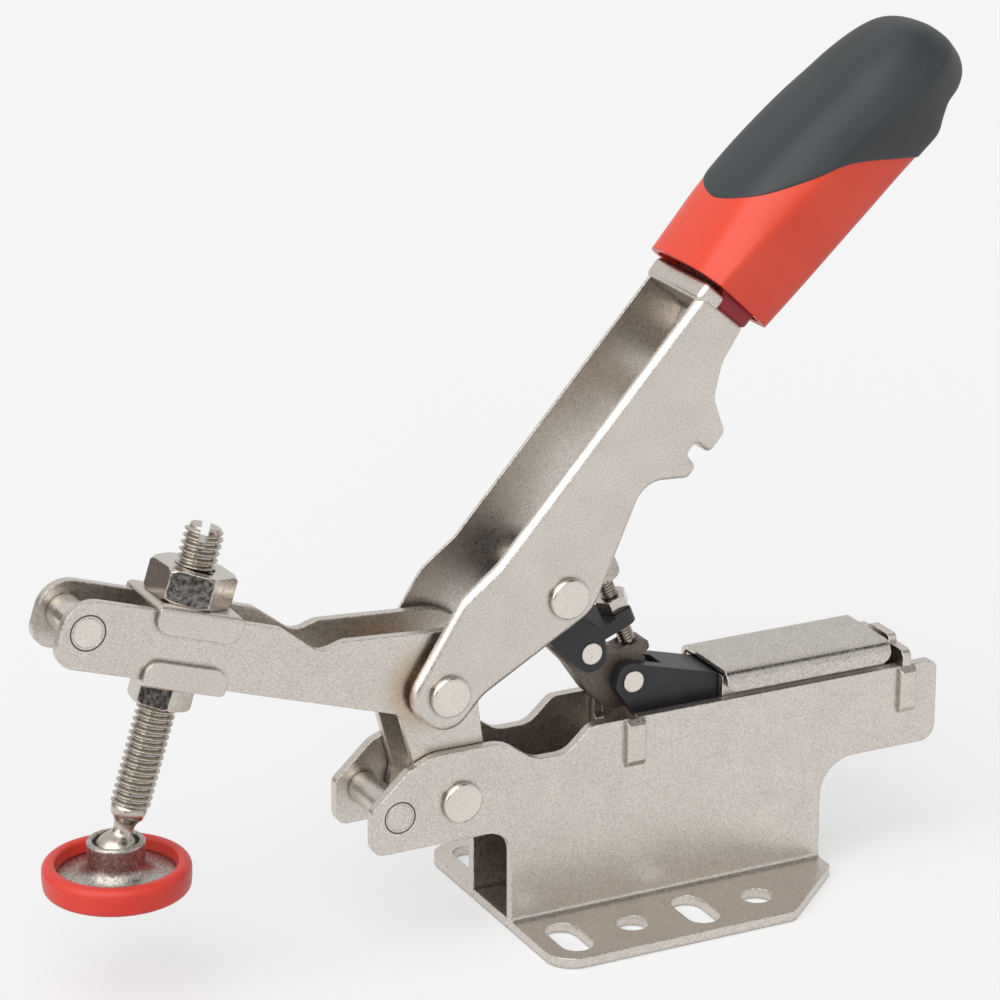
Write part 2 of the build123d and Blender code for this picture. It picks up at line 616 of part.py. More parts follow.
def make_spindle():
    """Threaded rod, slotted on top, waisted below to a ball."""
    radius = SPINDLE_DIAMETER / 2
    neck = NECK_DIAMETER / 2
    ball_top = BALL_CENTRE + sqrt(BALL_RADIUS ** 2 - neck ** 2)
    edges = [
        Line((0, SPINDLE_TOP), (radius - 0.7, SPINDLE_TOP)),
        Line((radius - 0.7, SPINDLE_TOP), (radius, SPINDLE_TOP - 0.7)),
        Line((radius, SPINDLE_TOP - 0.7), (radius, THREAD_END)),
        Line((radius, THREAD_END), (neck, THREAD_END - 2.6)),
        Line((neck, THREAD_END - 2.6), (neck, ball_top)),
        ThreePointArc((neck, ball_top), (BALL_RADIUS, BALL_CENTRE), (0, BALL_CENTRE - BALL_RADIUS)),
        Line((0, BALL_CENTRE - BALL_RADIUS), (0, SPINDLE_TOP)),
    ]
    half = Plane(ARM.from_local_coords((SPINDLE_X, 0, 0)), x_dir=ARM.x_dir, z_dir=ARM.z_dir)
    axis = Axis(half.origin, ARM.y_dir)
    rod_solid = revolve(half * make_face(edges), axis=axis)
    slot = Box(DRIVER_SLOT_WIDTH, SPINDLE_DIAMETER + 2, 2 * DRIVER_SLOT_DEPTH)
    return rod_solid - spindle_plane(SPINDLE_TOP).location * Rot(0, 0, -25) * slot


# ================================================================ foot

def foot_plane():
    """The level underside of the foot, under the centre of the ball."""
    ball = ARM.from_local_coords((SPINDLE_X, BALL_CENTRE, 0))
    return Plane(origin=(ball.X, 0, ball.Z - FOOT_BALL_HEIGHT))


def make_foot_socket():
    floor = FOOT_PAD_FLOOR
    disc = floor + FOOT_DISC
    boss = FOOT_BOSS_RADIUS
    half = outline([
        (0, floor, 0),
        (FOOT_DISC_RADIUS, floor, 0.3),
        (FOOT_DISC_RADIUS, disc, 0.3),
        (boss + 1.3, disc + 0.5, 2.4),
        (boss, FOOT_BOSS_TOP, 0.8),
        (0, FOOT_BOSS_TOP, 0),
    ])
    body = revolve(Plane.XZ * half, axis=Axis.Z)
    body -= Pos(0, 0, FOOT_BALL_HEIGHT) * Sphere(BALL_RADIUS + BALL_PLAY)
    return foot_plane().location * body


def make_foot_pad():
    gap = 0.05
    floor = FOOT_PAD_FLOOR
    disc = floor + FOOT_DISC
    half = make_face(Polyline(
        (0, 0), (FOOT_RADIUS - 0.9, 0), (FOOT_RADIUS, 0.9), (FOOT_RADIUS, FOOT_HEIGHT - 1.2),
        (FOOT_RADIUS - 1.2, FOOT_HEIGHT), (FOOT_LIP_RADIUS + 0.5, FOOT_HEIGHT), (FOOT_LIP_RADIUS, disc + 0.5),
        (FOOT_LIP_RADIUS, disc + gap), (FOOT_DISC_RADIUS + gap, disc + gap), (FOOT_DISC_RADIUS + gap, floor),
        (0, floor), close=True))
    return foot_plane().location * revolve(Plane.XZ * half, axis=Axis.Z)


# ================================================================ handle

def handle_outline():
    return outline([
        (-7.2, 6.6, 6.2),
        (17.0, 10.5, 9.0),
        (26.5, HANDLE_FRONT, 8.0),
        (HANDLE_END, HANDLE_FRONT, 1.5),
        (HANDLE_END, -4.2, 1.5),
        (86.5, -5.4, 9.0),
        (80.0, -9.0, 5.0),
        (76.2, -16.0, 2.0),
        (70.6, -16.0, 1.2),
        (70.6, -11.8, 1.0),
        (67.7, -11.8, 1.0),
        (67.0, -15.4, 1.2),
        (64.0, -15.4, 2.0),
        (57.8, -7.6, 6.0),
        (31.0, -16.2, 8.0),
        (4.0, -7.1, 12.0),
        (-7.2, -7.1, 6.8),
    ])


def handle_space():
    """What is open between the flanges: the front, and the rear below the hooked nub."""
    wall = HANDLE_SHEET
    return outline([
        (-20, 30, 0),
        (HANDLE_END - wall, 30, 0),
        (HANDLE_END - wall, -4.2 + wall, 1.0),
        (87.2, -5.4 + wall, 7.0),
        (81.5, -7.6, 4.0),
        (77.6, -16.0 + wall, 1.0),
        (69.0, -16.0 + wall, 0),
        (69.0, -30, 0),
        (-20, -30, 0),
    ])


def tang_outline():
    """The strap that runs on from the channel, inside the grip."""
    return outline([
        (HANDLE_END - 1.0, 6.6, 0),
        (HANDLE_END - 1.0, -2.6, 0),
        (TANG_END, -7.6, 2.0),
        (TANG_END, 0.4, 2.0),
    ])


def make_handle_channel():
    channel = across(HANDLE, handle_outline(), -HANDLE_OUTER, HANDLE_OUTER)
    back = [e for e in channel.edges() if abs(abs(e.center().Y) - HANDLE_OUTER) < 0.01
            and HANDLE.to_local_coords(e.center()).X > 78.0
            and HANDLE.to_local_coords(e.center()).X < HANDLE_END - 0.5
            and HANDLE.to_local_coords(e.center()).Y < 0]
    channel = fillet(back, HANDLE_BEND)
    channel -= across(HANDLE, handle_space(), -HANDLE_INNER, HANDLE_INNER)
    channel += across(HANDLE, tang_outline(), -TANG_HALF_WIDTH, TANG_HALF_WIDTH)
    for pivot in (HANDLE_PIVOT, LINK_PIVOT):
        channel -= rod(SIDE, pivot, PIN_DIAMETER / 2, -HANDLE_OUTER - 1, HANDLE_OUTER + 1)
    return channel


# Sections of the grip: distance along the handle, crown, shoulder, underside, half width.
GRIP_BODY = (
    (GRIP_START, 12.0, 6.8, -8.4, 14.3),
    (119.0, 11.8, 5.0, -10.3, 14.7),
    (GRIP_LIP, 7.2, -0.8, -13.8, 14.6),
)
GRIP_TIP = (
    (GRIP_LIP, 7.2, -0.8, -13.8, 14.6),
    (GRIP_END - 13.3, 6.0, -2.2, -11.6, 14.2),
    (GRIP_END - 8.3, 4.0, -3.2, -10.8, 12.9),
    (GRIP_END - 3.8, 1.4, -3.8, -9.4, 10.2),
    (GRIP_END, -2.0, -4.6, -7.2, 5.4),
)


# Side view of the seam between the grip body and its cover, from the start of the grip.
COVER_SEAM = (
    (16.0, 12.5), (18.5, 11.5), (24.5, 8.6), (31.5, 4.4), (37.5, -1.0), (42.0, -6.0), (49.5, -16.0),
)


def grip_section(distance, crown, shoulder, under, half):
    plane = Plane(HANDLE.from_local_coords((distance, 0, 0)), x_dir=(0, -1, 0), z_dir=HANDLE.x_dir)
    turn = 1 if plane.y_dir.dot(HANDLE.y_dir) > 0 else -1
    size = half / GRIP_BODY[0][4] * min(1.0, (crown - under) / 16)
    side = [(0.78 * half, crown, 3.6 * size), (half, shoulder, 1.2 * size), (0.78 * half, under, 2.6 * size)]
    corners = side + [(-x, y, r) for x, y, r in reversed(side)]
    return plane * outline([(x, turn * y, r) for x, y, r in corners])


def grip_split():
    """The side of the grip that the soft dark cover takes: the top and the whole end."""
    seam = [(GRIP_START + x, y) for x, y in COVER_SEAM]
    above = 3 * GRIP_BODY[0][1]
    beyond = GRIP_END + above
    edge = Spline([Vector(*point) for point in seam])
    rest = Polyline(seam[-1], (beyond, -above), (beyond, above), (GRIP_START, above), seam[0])
    return make_face([edge, *rest.edges()])


def make_grip():
    """The hard grip body and its soft dark cover."""
    whole = loft([grip_section(*section) for section in GRIP_BODY], ruled=True)
    whole += loft([grip_section(*section) for section in GRIP_TIP])
    half = GRIP_BODY[0][4]
    cover_side = across(HANDLE, grip_split(), -2 * half, 2 * half)
    core = across(HANDLE, outline([
        (GRIP_START, 8.0, 0), (GRIP_START, -5.5, 0), (GRIP_CORE_END, -9.6, 3.0), (GRIP_CORE_END, 0.6, 3.0),
    ]), -COLLAR_HALF_WIDTH, COLLAR_HALF_WIDTH)
    collar = across(HANDLE, outline([
        (HANDLE_END, 7.6, 0), (HANDLE_END, -3.4, 0), (GRIP_START + 1, -3.4, 0), (GRIP_START + 1, 7.6, 0),
    ]), -COLLAR_HALF_WIDTH, COLLAR_HALF_WIDTH)
    tang = across(HANDLE, tang_outline(), -TANG_HALF_WIDTH, TANG_HALF_WIDTH)
    core = core & whole
    body = (whole - cover_side) + core + collar - tang
    cover = (whole & cover_side) - core - tang
    return body, cover


def make_washers():
    ring = Circle(WASHER_DIAMETER / 2) - Circle(PIN_HOLE)
    gap = SIDE_PLAY / 4
    return both_sides(across(side_plane(HANDLE_PIVOT), ring, -HANDLE_INNER + gap, -ARM_OUTER - gap))


def make_link_spacers():
    ring = Circle(BUSH_RADIUS) - Circle(PIN_DIAMETER / 2)
    return both_sides(across(side_plane(LINK_PIVOT), ring, -HANDLE_INNER, -FORK_HALF_WIDTH - SIDE_PLAY / 2))


def make_small_rivet(point, half_length):
    """A rivet whose ends stand just proud of the piece that it holds."""
    pin = rod(SIDE, point, SMALL_PIN_DIAMETER / 2, -half_length, half_length)
    for side in (-1, 1):
        ends = sorted((side * half_length, side * (half_length + 0.3)))
        pin += rod(SIDE, point, SMALL_HEAD_DIAMETER / 2, *ends)
    return pin


# ================================================================ all pieces

def all_nodes():
    nodes = {}
    nodes["base_near_side"], nodes["base_far_side"] = both_sides(make_base_side())
    nodes["base_floor"] = make_floor()
    nodes["nose_spacer"] = make_nose_spacer()
    nodes["front_cross_plate"] = make_front_cross_plate()
    nodes["rear_cross_plate"] = make_rear_cross_plate()
    nodes["slide_cover"] = make_slide_cover()
    nodes["slide_channel"] = make_slide_channel()
    nodes["slide_spring"] = make_slide_spring()
    nodes["arm_pivot_rivet"] = headed_pin(ARM_PIVOT, WEB_OUTER, PIN_DIAMETER, PIN_HEAD_DIAMETER, PIN_HEAD_HEIGHT)

    nodes["arm_near_plate"], nodes["arm_far_plate"] = both_sides(make_arm_plate())
    nodes["arm_pivot_bush"] = make_bush(ARM_PIVOT)
    nodes["arm_handle_bush"] = make_bush(HANDLE_PIVOT)
    nodes["tip_spacer"] = make_tip_spacer()
    nodes["upper_saddle"] = make_saddle(UPPER_SADDLE, ARM_TOP, 1)
    nodes["lower_saddle"] = make_saddle(LOWER_SADDLE, ARM_BOTTOM, -1)
    nodes["upper_nut"] = make_upper_nut()
    nodes["lower_nut"] = make_lower_nut()
    nodes["spindle"] = make_spindle()
    nodes["foot_socket"] = make_foot_socket()
    nodes["foot_pad"] = make_foot_pad()

    nodes["handle_channel"] = make_handle_channel()
    nodes["grip_body"], nodes["grip_cover"] = make_grip()
    nodes["handle_arm_rivet"] = headed_pin(
        HANDLE_PIVOT, HANDLE_OUTER, PIN_DIAMETER, PIN_HEAD_DIAMETER, PIN_HEAD_HEIGHT)
    nodes["handle_link_rivet"] = headed_pin(
        LINK_PIVOT, HANDLE_OUTER, PIN_DIAMETER, PIN_HEAD_DIAMETER, PIN_HEAD_HEIGHT)
    nodes["handle_washers"] = Compound(make_washers())
    nodes["link_spacers"] = Compound(make_link_spacers())

    nodes["link_fork"] = make_link_fork()
    nodes["link_rocker"] = make_link_rocker()
    nodes["rocker_rivet"] = make_small_rivet(ROCKER_PIVOT, FORK_HALF_WIDTH)
    nodes["adjusting_screw"] = make_adjusting_screw()
    nodes["adjusting_nut"] = make_adjusting_nut()

    nodes["slide_bar"] = make_slide_bar()
    nodes["slide_rivet"] = make_small_rivet(SLIDE_PIVOT, SLIDE_HALF_WIDTH)
    return nodes


os.makedirs("parts", exist_ok=True)
for name, shape in all_nodes().items():
    export_step(shape, f"parts/{name}.step")
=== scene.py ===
from math import cos, pi, radians, sin, sqrt

import bmesh
import bpy
from mathutils import Matrix, Vector


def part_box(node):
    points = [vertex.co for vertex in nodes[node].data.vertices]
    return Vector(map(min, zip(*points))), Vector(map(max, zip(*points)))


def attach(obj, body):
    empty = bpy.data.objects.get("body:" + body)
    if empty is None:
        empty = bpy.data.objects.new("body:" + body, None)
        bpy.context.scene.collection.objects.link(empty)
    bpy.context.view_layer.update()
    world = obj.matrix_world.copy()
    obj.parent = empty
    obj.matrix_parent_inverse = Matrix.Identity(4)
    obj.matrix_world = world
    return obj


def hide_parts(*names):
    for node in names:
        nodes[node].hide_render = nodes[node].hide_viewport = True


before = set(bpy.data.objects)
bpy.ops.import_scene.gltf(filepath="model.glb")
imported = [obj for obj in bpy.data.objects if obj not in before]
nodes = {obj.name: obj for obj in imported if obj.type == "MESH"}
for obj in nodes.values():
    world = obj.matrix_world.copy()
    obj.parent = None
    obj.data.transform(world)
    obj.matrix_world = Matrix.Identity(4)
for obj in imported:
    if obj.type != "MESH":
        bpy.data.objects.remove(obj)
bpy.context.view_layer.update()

# Horizontal toggle clamp, arm raised and handle up.
# X runs back along the base, Y across it with the near side at -Y, Z up, and
# the origin is on the underside of the base.  Lengths below are millimetres.


# ---------------------------------------------------------------- folded base
# Two mirrored sides folded from 2.2 mm steel strip, each an upright web with a
# drilled flange, spot welded to a floor strip.  Blanked, bent, then barrel
# plated with nickel.

def colour(code):
    """An sRGB hex colour as the linear red, green, blue and alpha of a socket."""
    parts = [int(code[i:i + 2], 16) / 255 for i in (1, 3, 5)]
    return [p / 12.92 if p <= 0.04045 else ((p + 0.055) / 1.055) ** 2.4 for p in parts] + [1]


def add(tree, kind, inputs=None, **settings):
    """A new node: settings are its own properties, inputs are values or sockets."""
    node = tree.nodes.new(kind)
    for name, value in settings.items():
        setattr(node, name, value)
    for name, value in (inputs or {}).items():
        if isinstance(value, bpy.types.NodeSocket):
            tree.links.new(value, node.inputs[name])
        else:
            node.inputs[name].default_value = value
    return node


def new_material(name):
    """An empty node material, with its tree."""
    material = bpy.data.materials.new(name)
    material.use_nodes = True
    material.node_tree.nodes.clear()
    return material, material.node_tree


def per_metre(millimetres):
    """Texture scale that gives one feature each so many millimetres."""
    return 1000 / millimetres


def rolled_plate(name, tone, deep, edge, grain, rough, bump, wear=0.35, hollows=0.0014,
                 stain=None):
    """Nickel over hot-rolled, pickled steel: a fine sandy skin that scatters light,
    cloudy from the plating barrel, torn bright and dark along every cut edge, the bright
    part partly scuffing and partly a painted highlight, and darkened by painted shade
    from an occlusion mask in corners, round rivets and between parts."""
    material, tree = new_material(name)
    place = add(tree, "ShaderNodeTexCoord").outputs["Object"]
    sand = add(tree, "ShaderNodeTexNoise", {
        "Vector": place, "Scale": per_metre(grain), "Detail": 3.0, "Roughness": 0.65})
    cloud = add(tree, "ShaderNodeTexNoise", {
        "Vector": place, "Scale": per_metre(7.0), "Detail": 4.0, "Roughness": 0.55})
    pits = add(tree, "ShaderNodeTexNoise", {
        "Vector": place, "Scale": per_metre(grain * 1.9), "Detail": 2.0})
    speck = add(tree, "ShaderNodeMapRange", {
        "Value": sand.outputs["Fac"], "From Min": 0.36, "From Max": 0.58}).outputs["Result"]
    base = add(tree, "ShaderNodeMix", {
        0: speck, 6: colour(deep), 7: colour(tone)}, data_type="RGBA")
    hazy = add(tree, "ShaderNodeMapRange", {
        "Value": cloud.outputs["Fac"], "From Min": 0.3, "From Max": 0.7,
        "To Min": 0.95, "To Max": 1.03}).outputs["Result"]
    clouded = add(tree, "ShaderNodeHueSaturation", {"Value": hazy, "Color": base.outputs[2]})
    rounded = add(tree, "ShaderNodeBevel", {"Radius": wear / 1000}, samples=6)
    facing = add(tree, "ShaderNodeVectorMath", {
        0: rounded.outputs["Normal"],
        1: add(tree, "ShaderNodeNewGeometry").outputs["Normal"]}, operation="DOT_PRODUCT")
    # A bevel mask finds the edges, where the colour turns to the edge tone: partly scuffed cut
    # edges, partly a painted highlight.
    rubbed = add(tree, "ShaderNodeMapRange", {
        "Value": facing.outputs["Value"], "From Min": 0.985, "From Max": 0.90})
    worn = add(tree, "ShaderNodeMath", {
        0: rubbed.outputs["Result"], 1: 0.75}, operation="MULTIPLY").outputs["Value"]
    torn = add(tree, "ShaderNodeMapRange", {
        "Value": pits.outputs["Fac"], "From Min": 0.40, "From Max": 0.56}).outputs["Result"]
    sheared = add(tree, "ShaderNodeMix", {
        0: torn, 6: colour("#8C847B"), 7: colour(edge)}, data_type="RGBA")
    rubbed_skin = add(tree, "ShaderNodeMix", {
        0: worn, 6: clouded.outputs["Color"], 7: sheared.outputs[2]}, data_type="RGBA").outputs[2]
    if stain:
        centre, near, far = stain
        away = add(tree, "ShaderNodeVectorMath", {0: place, 1: centre}, operation="DISTANCE")
        ring = add(tree, "ShaderNodeMapRange", {
            "Value": away.outputs["Value"], "From Min": far, "From Max": near, "To Max": 0.55})
        tanned = add(tree, "ShaderNodeMix", {
            0: ring.outputs["Result"], 6: rubbed_skin, 7: colour("#B59B78")}, data_type="RGBA")
        rubbed_skin = tanned.outputs[2]
    # Painted shade: an occlusion mask darkens the colour in corners, round rivets and between
    # parts.
    open_sky = add(tree, "ShaderNodeAmbientOcclusion", {"Distance": hollows}, samples=8)
    dull = add(tree, "ShaderNodeMapRange", {
        "Value": open_sky.outputs["AO"], "From Min": 0.30, "From Max": 0.85, "To Min": 0.38})
    skin = add(tree, "ShaderNodeHueSaturation", {
        "Value": dull.outputs["Result"], "Color": rubbed_skin})
    polish = add(tree, "ShaderNodeMapRange", {
        "Value": pits.outputs["Fac"], "From Min": 0.3, "From Max": 0.7,
        "To Min": rough - 0.06, "To Max": rough + 0.07}).outputs["Result"]
    sheen = add(tree, "ShaderNodeMix", {0: worn, 2: polish, 3: 0.26}, data_type="FLOAT")
    relief = add(tree, "ShaderNodeBump", {
        "Strength": bump, "Distance": grain * 0.075 / 1000,
        "Height": sand.outputs["Fac"], "Normal": rounded.outputs["Normal"]})
    shader = add(tree, "ShaderNodeBsdfPrincipled", {
        "Base Color": skin.outputs["Color"], "Metallic": 1.0,
        "Roughness": sheen.outputs[0], "Normal": relief.outputs["Normal"]})
    add(tree, "ShaderNodeOutputMaterial", {"Surface": shader.outputs["BSDF"]})
    return material


def finish(material, *names):
    """Give CAD pieces that keep their own shape a better material."""
    for name in names:
        for place in nodes[name].material_slots:
            place.material = material


# Each edge colour is the cut edges' tone, made lighter in part as a painted highlight.
barrel_plating = dict(
    tone="#E1DAD2", deep="#C3BBB2", edge="#EBE6DF", grain=0.32, rough=0.31, bump=1.2)
nickel_plate = rolled_plate("satin_nickel_plate", **barrel_plating)
finish(nickel_plate, "base_near_side", "base_far_side", "base_floor")


# ---------------------------------------------------------------- cross plates and nose
# Two blanked plates hold the webs apart and are held in pressed-out ribs; a
# turned spacer joins the noses.  Plated with the base.

finish(nickel_plate, "front_cross_plate", "rear_cross_plate", "nose_spacer")


# ---------------------------------------------------------------- slide channel and cover
# A folded U guides the slide, and a folded lid of 1 mm strip closes it.  The
# lid is flatter and brighter, as cold-rolled strip is.

lid_plate = rolled_plate(
    "bright_nickel_lid", tone="#DAD4CC", deep="#B4ADA4", edge="#F2EEE8",
    grain=0.42, rough=0.24, bump=1.0)
finish(lid_plate, "slide_cover")
finish(nickel_plate, "slide_channel")


# ---------------------------------------------------------------- slide bar
# A milled steel bar, black oxided, forked for the rocker.  Oil in the oxide
# gives it a low satin gloss.

def black_oxide(name, tone, worn_tone, rough):
    """Black oxide on steel: nearly black, satin, thin at the edges, and darkened by painted shade
    from an occlusion mask in corners.
    """
    material, tree = new_material(name)
    place = add(tree, "ShaderNodeTexCoord").outputs["Object"]
    fine = add(tree, "ShaderNodeTexNoise", {
        "Vector": place, "Scale": per_metre(0.5), "Detail": 3.0})
    broad = add(tree, "ShaderNodeTexNoise", {
        "Vector": place, "Scale": per_metre(5.0), "Detail": 3.0})
    rounded = add(tree, "ShaderNodeBevel", {"Radius": 0.0003}, samples=6)
    facing = add(tree, "ShaderNodeVectorMath", {
        0: rounded.outputs["Normal"],
        1: add(tree, "ShaderNodeNewGeometry").outputs["Normal"]}, operation="DOT_PRODUCT")
    thin = add(tree, "ShaderNodeMapRange", {
        "Value": facing.outputs["Value"], "From Min": 0.985, "From Max": 0.88, "To Max": 0.45})
    blended = add(tree, "ShaderNodeMix", {
        0: thin.outputs["Result"], 6: colour(tone), 7: colour(worn_tone)}, data_type="RGBA")
    shade = add(tree, "ShaderNodeMapRange", {
        "Value": broad.outputs["Fac"], "From Min": 0.3, "From Max": 0.7,
        "To Min": 0.85, "To Max": 1.15})
    # Painted shade: an occlusion mask darkens the colour in corners and between parts.
    open_sky = add(tree, "ShaderNodeAmbientOcclusion", {"Distance": 0.0012}, samples=8)
    dull = add(tree, "ShaderNodeMapRange", {
        "Value": open_sky.outputs["AO"], "From Min": 0.30, "From Max": 0.85, "To Min": 0.35})
    depth = add(tree, "ShaderNodeMath", {
        0: shade.outputs["Result"], 1: dull.outputs["Result"]}, operation="MULTIPLY")
    skin = add(tree, "ShaderNodeHueSaturation", {
        "Value": depth.outputs["Value"], "Color": blended.outputs[2]})
    polish = add(tree, "ShaderNodeMapRange", {
        "Value": fine.outputs["Fac"], "To Min": rough - 0.05, "To Max": rough + 0.08})
    relief = add(tree, "ShaderNodeBump", {
        "Strength": 0.25, "Distance": 0.00003, "Height": fine.outputs["Fac"],
        "Normal": rounded.outputs["Normal"]})
    shader = add(tree, "ShaderNodeBsdfPrincipled", {
        "Base Color": skin.outputs["Color"], "Metallic": 0.0, "IOR": 1.5,
        "Roughness": polish.outputs["Result"], "Normal": relief.outputs["Normal"]})
    add(tree, "ShaderNodeOutputMaterial", {"Surface": shader.outputs["BSDF"]})
    return material


oxide = black_oxide("black_oxide_steel", "#232427", "#5A5B5D", 0.40)
finish(oxide, "slide_bar")


# ---------------------------------------------------------------- slide spring
# Round spring wire wound with ground ends, in a bore of the bar.  It pushes the
# bar forward, and is plated as the base is.

finish(nickel_plate, "slide_spring")


# ---------------------------------------------------------------- folding link
# A black oxided fork and, between its cheeks, a curved rocker left brown from
# heat treatment, riveted together.

def heat_brown(name):
    """Hardened steel with a thin brown scale: half metal, half matt."""
    material, tree = new_material(name)
    place = add(tree, "ShaderNodeTexCoord").outputs["Object"]
    fine = add(tree, "ShaderNodeTexNoise", {
        "Vector": place, "Scale": per_metre(0.6), "Detail": 4.0})
    tone = add(tree, "ShaderNodeMapRange", {
        "Value": fine.outputs["Fac"], "From Min": 0.3, "From Max": 0.7})
    skin = add(tree, "ShaderNodeMix", {
        0: tone.outputs["Result"], 6: colour("#5E544C"), 7: colour("#7C7167")}, data_type="RGBA")
    rounded = add(tree, "ShaderNodeBevel", {"Radius": 0.0003}, samples=6)
    relief = add(tree, "ShaderNodeBump", {
        "Strength": 0.4, "Distance": 0.00004, "Height": fine.outputs["Fac"],
        "Normal": rounded.outputs["Normal"]})
    shader = add(tree, "ShaderNodeBsdfPrincipled", {
        "Base Color": skin.outputs[2], "Metallic": 0.8, "Roughness": 0.45,
        "Normal": relief.outputs["Normal"]})
    add(tree, "ShaderNodeOutputMaterial", {"Surface": shader.outputs["BSDF"]})
    return material


finish(oxide, "link_fork")
finish(heat_brown("heat_browned_steel"), "link_rocker")


# ---------------------------------------------------------------- rivets and bushes
# Rivets, bushes, washers and spacers, turned or cold-headed from steel rod and
# bright nickel plated, so they are smoother than the sheet.

bright_steel = rolled_plate(
    "bright_nickel_rivet", tone="#E6DFD6", deep="#DCD4CB", edge="#F4F0EA",
    grain=0.5, rough=0.20, bump=0.25)
finish(bright_steel, "arm_pivot_rivet", "handle_arm_rivet", "handle_link_rivet", "rocker_rivet",
       "slide_rivet", "arm_pivot_bush", "arm_handle_bush", "tip_spacer", "handle_washers",
       "link_spacers")


# ---------------------------------------------------------------- arm
# Two blanked plates 2 mm thick, and a strap over and under them that holds the
# spindle.  Plated in the same barrel as the base; the near plate has a tan heat
# mark beside the handle's pivot.

finish(nickel_plate, "arm_far_plate", "upper_saddle", "lower_saddle")
heat_mark = ((-0.0475, -0.0075, 0.0565), 0.0065, 0.0105)    # middle, full and faded radius
stained_plate = rolled_plate("satin_nickel_plate_tanned", **barrel_plating, stain=heat_mark)
finish(stained_plate, "arm_near_plate")


# ---------------------------------------------------------------- nuts
# Cold-forged hex nuts, chamfered and nickel plated.  Their flats are nearly
# mirror bright.

nut_steel = rolled_plate(
    "bright_nickel_nut", tone="#D2CBC3", deep="#C4BDB4", edge="#F4F0EA",
    grain=0.5, rough=0.13, bump=0.08)
finish(nut_steel, "upper_nut", "lower_nut", "adjusting_nut")


# ---------------------------------------------------------------- spindle
# A threaded rod of 5/16 inch size, 18 turns to the inch, slotted on top for a
# screwdriver and waisted below to the ball that the foot turns on.

def group_inputs(tree, sizes):
    """Named inputs of a geometry tree, each with its default, and its output."""
    for name, value in sizes.items():
        kind = "NodeSocketInt" if isinstance(value, int) else "NodeSocketFloat"
        tree.interface.new_socket(name, in_out="INPUT", socket_type=kind).default_value = value
    tree.interface.new_socket("Geometry", in_out="OUTPUT", socket_type="NodeSocketGeometry")


def sums_in(tree):
    """A short way to write sums in a geometry tree."""
    def maths(operation, *values):
        sum_node = add(tree, "ShaderNodeMath", dict(enumerate(values)), operation=operation)
        return sum_node.outputs["Value"]
    return maths


def screw_thread_tree(material):
    """A cut thread as one strip wound on a helix, six points to a turn's profile.

    Both ends run out to a chamfer and are closed by a flat disc.
    """
    tree = bpy.data.node_groups.new("screw_thread", "GeometryNodeTree")
    group_inputs(tree, {"Pitch": 0.00141, "Radius": 0.004, "Depth": 0.00078,
                        "Length": 0.05, "End Radius": 0.003, "Sides": 40})
    size = add(tree, "NodeGroupInput").outputs
    maths = sums_in(tree)

    def profile(name, points):
        curve = add(tree, "ShaderNodeFloatCurve", {"Value": across}, label=name)
        line = curve.mapping.curves[0]
        line.points[0].location = points[0]
        line.points[1].location = points[-1]
        for point in points[1:-1]:
            line.points.new(*point)
        for point in line.points:
            point.handle_type = "VECTOR"
        curve.mapping.update()
        return curve.outputs["Value"]

    turns = maths("ADD", maths("DIVIDE", size["Length"], size["Pitch"]), 2.0)
    steps = maths("CEIL", maths("MULTIPLY", turns, size["Sides"]))
    strip = add(tree, "GeometryNodeMeshGrid", {
        "Size X": 1.0, "Size Y": 1.0, "Vertices X": maths("ADD", steps, 1.0), "Vertices Y": 6})
    where = add(tree, "ShaderNodeSeparateXYZ", {
        "Vector": add(tree, "GeometryNodeInputPosition").outputs[0]})
    step = maths("MULTIPLY", maths("ADD", where.outputs["X"], 0.5), steps)
    along = maths("DIVIDE", step, size["Sides"])
    across = maths("ADD", where.outputs["Y"], 0.5)
    rise = profile("rise", [
        (0, 0), (0.2, 0.125), (0.4, 0.4375), (0.6, 0.5625), (0.8, 0.875), (1, 1)])
    height = profile("height", [(0, 0), (0.2, 0), (0.4, 1), (0.6, 1), (0.8, 0), (1, 0)])
    turned = maths("SUBTRACT", maths("ADD", along, rise), 1.0)
    climb = maths("MULTIPLY", turned, size["Pitch"])
    level = add(tree, "ShaderNodeClamp", {
        "Value": climb, "Min": 0.0, "Max": size["Length"]}).outputs[0]
    from_end = maths("MINIMUM", level, maths("SUBTRACT", size["Length"], level))
    bevel = maths("ADD", size["End Radius"], from_end)
    sunk = maths("MULTIPLY", size["Depth"], maths("SUBTRACT", 1.0, height))
    cut = maths("SUBTRACT", size["Radius"], sunk)
    radius = maths("MINIMUM", bevel, cut)
    angle = maths("MULTIPLY", along, 2 * pi)
    spot = add(tree, "ShaderNodeCombineXYZ", {
        "X": maths("MULTIPLY", radius, maths("COSINE", angle)),
        "Y": maths("MULTIPLY", radius, maths("SINE", angle)), "Z": level})
    wound = add(tree, "GeometryNodeSetPosition", {
        "Geometry": strip.outputs["Mesh"], "Position": spot.outputs[0]})
    disc = add(tree, "GeometryNodeMeshCircle", {
        "Vertices": size["Sides"], "Radius": size["End Radius"]}, fill_type="NGON")
    top = add(tree, "GeometryNodeTransform", {
        "Geometry": disc.outputs["Mesh"],
        "Translation": add(tree, "ShaderNodeCombineXYZ", {"Z": size["Length"]}).outputs[0]})
    under = add(tree, "GeometryNodeFlipFaces", {"Mesh": disc.outputs["Mesh"]})
    whole = add(tree, "GeometryNodeJoinGeometry")
    for part in (wound.outputs[0], top.outputs[0], under.outputs[0]):
        tree.links.new(part, whole.inputs[0])
    welded = add(tree, "GeometryNodeMergeByDistance", {
        "Geometry": whole.outputs[0], "Distance": 0.000002})
    real = add(tree, "GeometryNodeRealizeInstances", {"Geometry": welded.outputs[0]})
    made = add(tree, "GeometryNodeSetMaterial", {
        "Geometry": real.outputs[0], "Material": material})
    add(tree, "NodeGroupOutput", {"Geometry": made.outputs[0]})
    return tree


